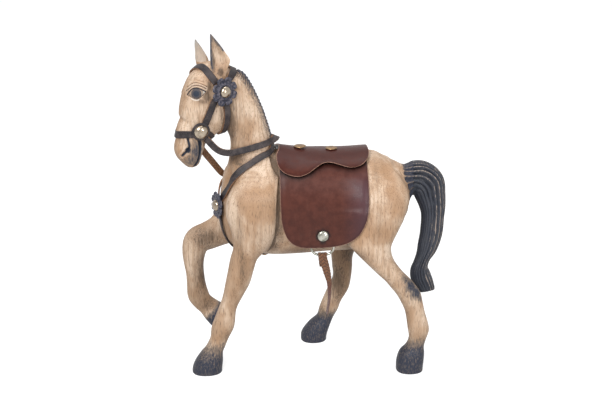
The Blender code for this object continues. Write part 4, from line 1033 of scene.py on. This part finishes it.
def make_rosette(node, base, axis, radius):
    """A leather flower of eight curled petals with a raised ring inside, under its stud."""
    across = (Vector((0, 0, 1)) - axis * axis.z).normalized()
    side = axis.cross(across)
    low = min((Vector(p) - base).dot(axis) for p in node_points(node))
    rings = []
    for share, height in FLOWER_ROWS:
        outer = min(1, max(0, (share - 0.5) / 0.35))
        ring = []
        for angle in circle(FLOWER_SIDES):
            dip = 1 - abs(math.sin(4 * angle))
            valley = 1.1 * outer * dip**3 if height > 1 else 0
            vein = 0.3 * math.exp(-(dip / 0.03) ** 2) if height > 1.6 and share > 0.7 else 0
            r = radius * share * (1 - 0.24 * outer * dip**2)
            up = low + height - valley - vein
            ring.append(base + axis * up + across * math.cos(angle) * r + side * math.sin(angle) * r)
        rings.append(ring)
    flower = tube("cut_" + node, rings)
    pin = turned_piece("pin", base + axis * (low - 1), axis, ((0, PIN_RADIUS), (6, PIN_RADIUS)), 24)
    combined(flower, pin, solver="EXACT")
    dress(flower, "rosette", node, 45)


# Straps

STRAPS = (
    "browband", "crown_strap", "throat_latch", "noseband", "curb_strap", "left_cheek_strap",
    "right_cheek_strap", "breast_strap", "martingale", "left_keeper", "right_keeper", "reins",
)
SAME_PLACE = 0.000002
STRAP_SHARP_DEG = 50
NARROW_SIDE = 2
RING_GROWTH = 0.3
PLAIT_PITCH = 3.4
# The girth strap's taper: heights, the share of its width kept there and how far it swings back.
GIRTH_SHAPE = (
    (66, 0.6, 1), (80, 0.45, 1.8), (92, 0.5, 2), (100, 0.62, 2.2), (110, 0.85, 1.3), (120, 0.96, 0.7),
    (128, 1, 0),
)


def softened(node, name, look, levels=2, crease=0.8, raw=1, body="horse"):
    """A CAD node with its long facets rounded and its edges kept, its cut sides marked."""
    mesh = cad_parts[node].data.copy()
    work = bmesh.new()
    work.from_mesh(mesh)
    bmesh.ops.remove_doubles(work, verts=work.verts, dist=SAME_PLACE)
    flat, square = math.radians(35), math.radians(60)
    bmesh.ops.join_triangles(
        work, faces=work.faces, angle_face_threshold=flat, angle_shape_threshold=square)
    layer = work.edges.layers.float.get("crease_edge") or work.edges.layers.float.new("crease_edge")
    cut = work.faces.layers.float.new("cut_side")
    sharp = set()
    for edge in work.edges:
        if len(edge.link_faces) == 2 and edge.calc_face_angle() > math.radians(STRAP_SHARP_DEG):
            edge[layer] = crease
            sharp.add(edge)
    for face in work.faces:
        edges = [e for e in face.edges if e in sharp]
        opposite = any(not set(a.verts) & set(b.verts) for a in edges for b in edges)
        if opposite and min(e.calc_length() for e in face.edges) < NARROW_SIDE * MM:
            face[cut] = raw
    work.to_mesh(mesh)
    work.free()
    obj = add_object(name, mesh)
    rounding = obj.modifiers.new("soft", "SUBSURF")
    rounding.levels = rounding.render_levels = levels
    apply_modifiers(obj)
    facing_in = -normals_of(obj.data)[:, 1] * np.sign(points_of(obj.data)[:, 1])
    store(obj.data, "flesh", raw * smoothstep(facing_in, 0.1, 0.4))
    return dress(obj, look, node, 70, body)


def plait_strap(girth):
    """Slanting strands down the girth strap, meeting in points, above its narrow bare end."""
    points = points_of(girth.data)
    rows = np.round(points[:, 2] / 1.5)
    middle = np.zeros(len(points))
    for row in np.unique(rows):
        here = rows == row
        middle[here] = (points[here, 0].min() + points[here, 0].max()) / 2
    across = points[:, 0] - middle
    heights = points[:, 2]
    strands = 0.5 + 0.5 * np.sin(2 * math.pi * (heights + 0.8 * np.abs(across)) / PLAIT_PITCH)
    bare = 1 - smoothstep(heights, 94, 104)
    points += normals_of(girth.data) * (0.35 * (strands - 0.6) * (1 - bare))[:, None]
    places, shares, moved = zip(*GIRTH_SHAPE)
    points[:, 0] -= across * (1 - np.interp(points[:, 2], places, shares))
    points[:, 0] += np.interp(points[:, 2], places, moved)
    set_points(girth.data, points)
    store(girth.data, "plait", strands)
    store(girth.data, "bare", bare)


def make_straps():
    for node in STRAPS:
        softened(node, "soft_" + node, "strap", raw=0 if node == "martingale" else 1)
    for node in ("left_ring", "right_ring"):
        ring = softened(node, "wire_" + node, "steel", crease=0, body=node)
        push(ring.data, RING_GROWTH)
    plait_strap(softened("girth_strap", "suede_girth_strap", "suede", levels=3, crease=0.9, body="girth"))


def make_fittings():
    for node in ("left_bridle", "right_bridle", "chest"):
        base, axis = make_stud(node + "_stud", 5.7, 4.2, "nickel")
        make_rosette(node + "_rosette", base, axis, 13.5 if node == "chest" else 14.2)
    for node in ("left_nose_stud", "right_nose_stud"):
        base, axis = make_stud(node, 6.9, 4.2, "nickel", 0.8)
        washer = turned_piece("washer_" + node, base - axis * 1.6, axis, WASHER)
        dress(washer, "strap", node, 40)
    for node in RIVETS:
        middle, axis, low, high = spindle(node)
        rows = [(low - high + RIVET_HEIGHT, SHANK_RADIUS), (-0.1, SHANK_RADIUS)]
        rows += dome_rows(5.5, RIVET_HEIGHT)
        rivet = turned_piece("polished_" + node, middle + axis * (high - RIVET_HEIGHT), axis, rows)
        dress(rivet, "steel", node, 40)
    for node in ("front_seat_nail", "rear_seat_nail"):
        make_stud(node, 5.9, 1.2, "brass")
    make_stud("belly_nail", 2.9, 1.8, "brass")


# Materials

class Surface:
    """A Principled material, and short names for the nodes that feed it."""

    def __init__(self, name, rough, metal=0.0, gloss=0.5, sheen=0.0):
        self.material = bpy.data.materials.new(name)
        self.material.use_nodes = True
        self.tree = self.material.node_tree
        self.shader = self.tree.nodes["Principled BSDF"]
        self.feed(rough, "Roughness")
        self.feed(metal, "Metallic")
        self.feed(gloss, "Specular IOR Level")
        self.feed(sheen, "Sheen Weight")
        self.place = self.new("TexCoord").outputs["Object"]

    def new(self, kind):
        return self.tree.nodes.new("ShaderNode" + kind)

    def link(self, source, target):
        if isinstance(source, (int, float)):
            target.default_value = source
        elif isinstance(source, tuple):
            target.default_value = (*source, 1) if target.type == "RGBA" else source
        else:
            self.tree.links.new(source, target)

    def feed(self, source, socket):
        self.link(source, self.shader.inputs[socket])

    def wired(self, node, output, inputs):
        """A node's output, once each of its named or numbered inputs is fed."""
        for socket, source in inputs.items():
            self.link(source, node.inputs[socket])
        return node.outputs[output]

    def scaled(self, x, y=None, z=None):
        """Coordinates that run x, y and z times a millimetre, or x times each way."""
        node = self.new("VectorMath")
        node.operation = "MULTIPLY"
        runs = (x, x, x) if y is None else (x, y, z)
        return self.wired(node, 0, {0: self.place, 1: tuple(run / MM for run in runs)})

    def noise(self, coords, detail=2.0, rough=0.5):
        node = self.new("TexNoise")
        inputs = {"Scale": 1, "Detail": detail, "Roughness": rough, "Vector": coords}
        return self.wired(node, "Fac", inputs)

    def cells(self, coords):
        node = self.new("TexVoronoi")
        return self.wired(node, "Distance", {"Scale": 1, "Vector": coords})

    def value(self, name):
        node = self.new("Attribute")
        node.attribute_name = name
        return node.outputs["Fac"]

    def math(self, operation, a, b=0.0, clamp=False):
        node = self.new("Math")
        node.operation = operation
        node.use_clamp = clamp
        return self.wired(node, 0, {0: a, 1: b})

    def spread(self, value, low, high, to_low=0.0, to_high=1.0):
        """The value, mapped from low..high to to_low..to_high and held there."""
        node = self.new("MapRange")
        node.interpolation_type = "SMOOTHSTEP"
        inputs = {"Value": value, "From Min": low, "From Max": high, "To Min": to_low, "To Max": to_high}
        return self.wired(node, "Result", inputs)

    def mix(self, share, a, b):
        node = self.new("Mix")
        node.data_type = "RGBA"
        return self.wired(node, "Result", {"Factor": share, "A": a, "B": b})

    def bump(self, height, distance, strength=1.0, under=None):
        node = self.new("Bump")
        inputs = {"Strength": strength, "Distance": distance * MM, "Height": height}
        if under is not None:
            inputs["Normal"] = under
        return self.wired(node, "Normal", inputs)

    def finished(self, colour, normal, rough=None):
        """The material, once what varies over its surface is fed."""
        self.feed(colour, "Base Color")
        self.feed(normal, "Normal")
        if rough is not None:
            self.feed(rough, "Roughness")
        return self.material


# Colours, in linear light.
HONEY = (0.41, 0.247, 0.142)
PALE_WOOD = (0.6, 0.46, 0.345)
# Grey of the wash in the grain and blotches, and of the painted shade.
GREY_WASH_AND_SHADE = (0.26, 0.165, 0.1)
FIGURE = (0.34, 0.2, 0.11)
PORE = (0.14, 0.085, 0.052)
# The darkest painted shade.
DEEP_SHADE = (0.075, 0.05, 0.034)
STAIN = (0.02, 0.024, 0.04)
STAIN_THIN = (0.14, 0.11, 0.09)
HOOF_WORN = (0.1, 0.086, 0.08)
# White of the eyes' paint and the paler far ear, also used for painted highlights on the iris and brow fold.
WHITE_PAINT_AND_HIGHLIGHT = (0.62, 0.58, 0.52)
INK = (0.014, 0.02, 0.034)
TAIL_DARK, TAIL_LIGHT = (0.008, 0.012, 0.022), (0.03, 0.033, 0.044)
TAIL_BROWN = (0.09, 0.07, 0.06)
TAIL_BARE = (0.33, 0.26, 0.21)
# Darker in the tail's grooves: painted shade.
TAIL_TROUGH_SHADE = (0.008, 0.01, 0.016)
STRAP_DARK, STRAP_LIGHT = (0.012, 0.009, 0.011), (0.052, 0.041, 0.041)
STRAP_CRACK = (0.14, 0.1, 0.08)
RAW_DARK, RAW_LIGHT = (0.12, 0.055, 0.027), (0.3, 0.16, 0.085)
PETAL_DARK, PETAL_LIGHT = (0.017, 0.02, 0.036), (0.085, 0.078, 0.098)
PETAL_WORN = (0.2, 0.14, 0.12)
SADDLE_DARK, SADDLE_LIGHT = (0.055, 0.013, 0.008), (0.08, 0.021, 0.013)
SADDLE_RUBBED = (0.1, 0.034, 0.023)
# Blue-grey painted sheen on the saddle.
SADDLE_SHEEN = (0.07, 0.034, 0.044)
# Darker towards the saddle's top.
SADDLE_DARKER_TOP = (0.046, 0.014, 0.012)
SADDLE_RIM, SADDLE_CUT = (0.035, 0.01, 0.008), (0.26, 0.14, 0.1)
# Painted shadow on the flaps.
SHADOW_BLACK = (0.006, 0.003, 0.003)
SUEDE_DARK, SUEDE_LIGHT = (0.07, 0.026, 0.012), (0.21, 0.088, 0.038)
# Painted shade in the gaps between the plait's strands.
SUEDE_GAP_SHADE = (0.035, 0.015, 0.01)
BARE_DARK, BARE_LIGHT = (0.06, 0.018, 0.01), (0.14, 0.045, 0.026)


def wood():
    s = Surface("carved wood", 0.6, gloss=0.3)
    pores = s.noise(s.scaled(1.5, 1.5, 0.1), 3, 0.62)
    streaks = s.noise(s.scaled(0.42, 0.42, 0.028), 4, 0.6)
    swirl = s.noise(s.scaled(0.032, 0.032, 0.0075), 1, 0.4)
    figure = s.math("SINE", s.math("MULTIPLY", swirl, 95))
    blotch = s.noise(s.scaled(0.035, 0.035, 0.025), 3, 0.55)
    tool = s.noise(s.scaled(0.16, 0.16, 0.07), 2, 0.5)
    hollow = s.value("hollow")
    base = s.mix(s.spread(blotch, 0.36, 0.64), HONEY, PALE_WOOD)
    base = s.mix(s.spread(figure, 0.2, 1, 0, 0.42), base, FIGURE)
    # Painted shade: the shade spots and the recesses, partly the hollows' brown patina, darken the wood.
    shade = s.math("ADD", s.value("shade"), s.spread(hollow, 0.02, 0.3, 0, 0.8), True)
    blotch_and_shade = s.math("ADD", s.spread(blotch, 0.6, 0.36, 0, 0.4), shade, True)
    # Paler wood on the ridges.
    base = s.mix(s.spread(hollow, -0.02, -0.22, 0, 0.5), base, PALE_WOOD)
    base = s.mix(s.math("MULTIPLY", blotch_and_shade, s.spread(streaks, 0.3, 0.62, 1, 0.5)), base, GREY_WASH_AND_SHADE)
    base = s.mix(s.spread(streaks, 0.54, 0.68, 0, 0.62), base, GREY_WASH_AND_SHADE)
    # The deepest painted shade, broken up by the pores.
    deep = s.math("SUBTRACT", s.math("MULTIPLY", shade, 1.25), s.spread(pores, 0.35, 0.6, 0.1, 0.75))
    base = s.mix(s.spread(deep, 0.1, 0.8, 0, 0.85), base, DEEP_SHADE)
    base = s.mix(s.spread(pores, 0.55, 0.66, 0, 0.7), base, PORE)
    rub = s.noise(s.scaled(0.75, 0.75, 0.2), 5, 0.72)
    cover = s.math("ADD", s.value("stain"), s.math("MULTIPLY", s.math("SUBTRACT", 0.5, rub), 1.9))
    thin = s.spread(cover, 0.1, 0.55)
    thick = s.spread(cover, 0.45, 0.95)
    worn = s.spread(s.noise(s.scaled(0.7, 0.7, 0.3), 4, 0.7), 0.5, 0.62, 0, 0.6)
    base = s.mix(s.math("MULTIPLY", thin, 0.85), base, STAIN_THIN)
    base = s.mix(thick, base, s.mix(worn, STAIN, HOOF_WORN))
    # White paint, and the painted highlights, over the wood.
    base = s.mix(s.value("white"), base, WHITE_PAINT_AND_HIGHLIGHT)
    base = s.mix(s.spread(s.value("ink"), 0.25, 0.75), base, INK)
    normal = s.bump(tool, 1.1, 0.5, s.bump(pores, 0.16))
    return s.finished(base, normal, s.spread(pores, 0.4, 0.7, 0.5, 0.72))


def tail():
    s = Surface("stained tail", 0.5, gloss=0.35)
    streaks = s.noise(s.scaled(0.9, 0.9, 0.12), 4, 0.65)
    fine = s.noise(s.scaled(2.6, 2.6, 0.5), 3, 0.6)
    crest = s.math("ADD", s.value("ridge"), s.math("MULTIPLY", s.math("SUBTRACT", streaks, 0.5), 1.8))
    rubbed = s.spread(crest, 0.6, 0.95)
    # Painted shade in the grooves between the locks.
    trough_shade = s.spread(s.value("ridge"), 0.12, 0.01, 0, 0.8)
    base = s.mix(s.spread(fine, 0.4, 0.65), TAIL_DARK, TAIL_LIGHT)
    base = s.mix(s.spread(streaks, 0.52, 0.72, 0, 0.5), base, TAIL_BROWN)
    base = s.mix(s.math("MULTIPLY", rubbed, 0.72), base, TAIL_BARE)
    base = s.mix(trough_shade, base, TAIL_TROUGH_SHADE)
    return s.finished(base, s.bump(fine, 0.2), s.spread(streaks, 0.35, 0.65, 0.38, 0.62))


def strap():
    s = Surface("worn strap leather", 0.45, gloss=0.3)
    wear = s.noise(s.scaled(0.12), 4, 0.6)
    pits = s.cells(s.scaled(1.6))
    crack = s.noise(s.scaled(0.9), 5, 0.7)
    base = s.mix(s.spread(wear, 0.4, 0.66), STRAP_DARK, STRAP_LIGHT)
    base = s.mix(s.spread(crack, 0.55, 0.7, 0, 0.75), base, STRAP_CRACK)
    raw = s.mix(s.spread(crack, 0.4, 0.65), RAW_DARK, RAW_LIGHT)
    base = s.mix(s.math("MAXIMUM", s.value("cut_side"), s.value("flesh")), base, raw)
    normal = s.bump(pits, 0.12, 0.8, s.bump(crack, 0.1))
    return s.finished(base, normal, s.spread(wear, 0.35, 0.65, 0.4, 0.6))


def rosette():
    s = Surface("cut rosette leather", 0.45, gloss=0.3)
    wear = s.noise(s.scaled(0.45), 4, 0.6)
    base = s.mix(s.spread(wear, 0.4, 0.62), PETAL_DARK, PETAL_LIGHT)
    base = s.mix(s.spread(wear, 0.6, 0.72, 0, 0.7), base, PETAL_WORN)
    return s.finished(base, s.bump(wear, 0.3))


def saddle(name, gloss):
    s = Surface(name, 0.3, gloss=gloss)
    mottle = s.noise(s.scaled(0.14), 4, 0.6)
    rubbed = s.noise(s.scaled(0.2, 0.2, 0.05), 4, 0.6)
    grain = s.cells(s.scaled(1.3))
    rim = s.value("rim")
    base = s.mix(s.spread(mottle, 0.3, 0.7), SADDLE_DARK, SADDLE_LIGHT)
    base = s.mix(s.spread(rubbed, 0.5, 0.75, 0, 0.3), base, SADDLE_RUBBED)
    # Painted sheen: a blue-grey tint over the rear of the sheets.
    base = s.mix(s.math("MULTIPLY", s.value("painted_sheen"), 0.7), base, SADDLE_SHEEN)
    # Darker towards the top.
    base = s.mix(s.math("MULTIPLY", s.value("darker_top"), 0.7), base, SADDLE_DARKER_TOP)
    base = s.mix(s.spread(rim, 3.2, 0.9, 0, 0.45), base, SADDLE_RIM)
    base = s.mix(s.spread(rim, 0.6, 0.3, 0, 0.85), base, SADDLE_CUT)
    # Painted shadow under the seat's edge, round the rivets and towards the lower edge.
    base = s.mix(s.value("painted_shadow"), base, SHADOW_BLACK)
    normal = s.bump(grain, 0.07, 0.7, s.bump(rubbed, 0.25, 0.4))
    return s.finished(base, normal, s.spread(mottle, 0.35, 0.65, 0.32, 0.42))


def suede():
    s = Surface("girth suede", 0.9, sheen=0.35)
    nap = s.noise(s.scaled(1.1, 1.1, 0.7), 5, 0.7)
    twist = s.value("plait")
    base = s.mix(s.spread(nap, 0.35, 0.65), SUEDE_DARK, SUEDE_LIGHT)
    # Painted shade in the gaps between strands.
    base = s.mix(s.spread(twist, 0.45, 0.1, 0, 0.85), base, SUEDE_GAP_SHADE)
    bare = s.mix(s.spread(nap, 0.4, 0.6), BARE_DARK, BARE_LIGHT)
    base = s.mix(s.value("bare"), base, bare)
    return s.finished(base, s.bump(nap, 0.6))


def plated(name, colour, dull, rough):
    s = Surface(name, rough, 1.0)
    haze = s.noise(s.scaled(0.22), 3, 0.5)
    scratch = s.noise(s.scaled(2.2, 0.5, 2.2), 3, 0.6)
    base = s.mix(s.spread(haze, 0.4, 0.7), colour, dull)
    roughness = s.spread(scratch, 0.35, 0.7, rough - 0.05, rough + 0.1)
    return s.finished(base, s.bump(scratch, 0.02, 0.5), roughness)


LOOKS = {
    "wood": (wood, "wood"),
    "tail": (tail, "painted_wood"),
    "strap": (strap, "strap_leather"),
    "rosette": (rosette, "rosette_leather"),
    "flaps": (lambda: saddle("flap leather", 0.22), "saddle_leather"),
    "seat": (lambda: saddle("seat leather", 0.12), "saddle_leather"),
    "suede": (suede, "suede"),
    "nickel": (lambda: plated("nickel plate", (0.38, 0.32, 0.25), (0.25, 0.2, 0.15), 0.2), "nickel"),
    "steel": (lambda: plated("steel wire", (0.42, 0.41, 0.36), (0.17, 0.17, 0.14), 0.24), "nickel"),
    "brass": (lambda: plated("aged brass", (0.3, 0.19, 0.1), (0.1, 0.06, 0.035), 0.4), "brass"),
}
MADE = {}


def dress(obj, look, node, sharp_deg, body="horse"):
    """Gives a finished piece its material, hangs it on its body and hides the CAD node it stands for."""
    make, slot = LOOKS[look]
    if look not in MADE:
        MADE[look] = make()
    obj.data.materials.clear()
    obj.data.materials.append(MADE[look])
    obj.data.shade_smooth()
    obj.data.set_sharp_from_angle(angle=math.radians(sharp_deg))
    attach(obj, body)
    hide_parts(node)
    return obj


# Stage

SKY_LIGHT = 0.34
FLOOR_GLOW = 0.78
FLOOR_HALF, FLOOR_LOW = 6, -0.0004
AIM = (Vector((0, 0, 168)) - CENTRE) * MM
CAMERA_AZIMUTH, CAMERA_ELEVATION = -5, 20
CAMERA_DISTANCE = 1.15
LENS = 67.65
# Each lamp: its place, its width and height, and its power.
LAMPS = {
    "key": ((-0.8, -1.4, 1.5), (0.7, 0.9), 26),
    "right": ((0.72, -1.25, 0.55), (0.2, 0.6), 9),
    "sheen": ((-0.38, -1.15, 0.95), (0.14, 0.6), 6),
    "top": ((0.1, 0.3, 1.9), (1, 1), 14),
}


def light_level(tree, for_the_rest, seen, target):
    """Sets a light's strength: one for rays from the camera or off shiny things, one for the rest."""
    path = tree.nodes.new("ShaderNodeLightPath")
    total = path.outputs["Is Camera Ray"]
    for kind in ("Is Glossy Ray", "Is Transmission Ray"):
        either = tree.nodes.new("ShaderNodeMath")
        either.operation = "ADD"
        either.use_clamp = True
        tree.links.new(total, either.inputs[0])
        tree.links.new(path.outputs[kind], either.inputs[1])
        total = either.outputs[0]
    level = tree.nodes.new("ShaderNodeMapRange")
    tree.links.new(total, level.inputs["Value"])
    level.inputs["To Min"].default_value = for_the_rest
    level.inputs["To Max"].default_value = seen
    tree.links.new(level.outputs["Result"], target)


def make_floor():
    """A white floor that shows as plain white and still lights the horse from below."""
    corners = [(x * FLOOR_HALF, y * FLOOR_HALF, FLOOR_LOW) for x, y in ((-1, -1), (1, -1), (1, 1), (-1, 1))]
    mesh = bpy.data.meshes.new("floor")
    mesh.from_pydata(corners, [], [(0, 1, 2, 3)])
    material = bpy.data.materials.new("floor white")
    material.use_nodes = True
    tree = material.node_tree
    plain = tree.nodes["Principled BSDF"]
    plain.inputs["Base Color"].default_value = (0.4, 0.4, 0.4, 1)
    plain.inputs["Roughness"].default_value = 0.9
    glow = tree.nodes.new("ShaderNodeEmission")
    glow.inputs["Color"].default_value = (1, 1, 1, 1)
    light_level(tree, 0, FLOOR_GLOW, glow.inputs["Strength"])
    both = tree.nodes.new("ShaderNodeAddShader")
    tree.links.new(plain.outputs[0], both.inputs[0])
    tree.links.new(glow.outputs[0], both.inputs[1])
    tree.links.new(both.outputs[0], tree.nodes["Material Output"].inputs["Surface"])
    mesh.materials.append(material)
    add_object("floor", mesh)


def make_sky():
    world = bpy.data.worlds.new("studio")
    bpy.context.scene.world = world
    world.use_nodes = True
    sky = world.node_tree.nodes["Background"]
    sky.inputs["Color"].default_value = (1, 1, 1, 1)
    light_level(world.node_tree, SKY_LIGHT, 1, sky.inputs["Strength"])


def aimed(name, data, place):
    """A lamp or camera at a place, turned to face the middle of the horse."""
    obj = add_object(name, data)
    obj.location = place
    obj.rotation_mode = "QUATERNION"
    obj.rotation_quaternion = (AIM - Vector(place)).to_track_quat("-Z", "Y")
    return obj


def make_stage():
    make_floor()
    make_sky()
    bpy.context.scene.view_settings.view_transform = "Standard"
    a, e = math.radians(CAMERA_AZIMUTH), math.radians(CAMERA_ELEVATION)
    back = Vector((math.sin(a) * math.cos(e), -math.cos(a) * math.cos(e), math.sin(e)))
    data = bpy.data.cameras.new("camera")
    data.lens = LENS
    data.sensor_width = 36
    data.clip_start = 0.01
    bpy.context.scene.camera = aimed("camera", data, AIM + back * CAMERA_DISTANCE)
    for name, (place, size, power) in LAMPS.items():
        lamp = bpy.data.lights.new(name, "AREA")
        lamp.shape = "RECTANGLE"
        lamp.size, lamp.size_y = size
        lamp.energy = power
        aimed(name, lamp, place)


make_stage()
horse, paint, wood_tree = carve_horse()
blocks = saw_blocks(horse, paint)
carve_tail(blocks["left_hind_leg"])
make_saddle(wood_tree)
make_straps()
make_fittings()
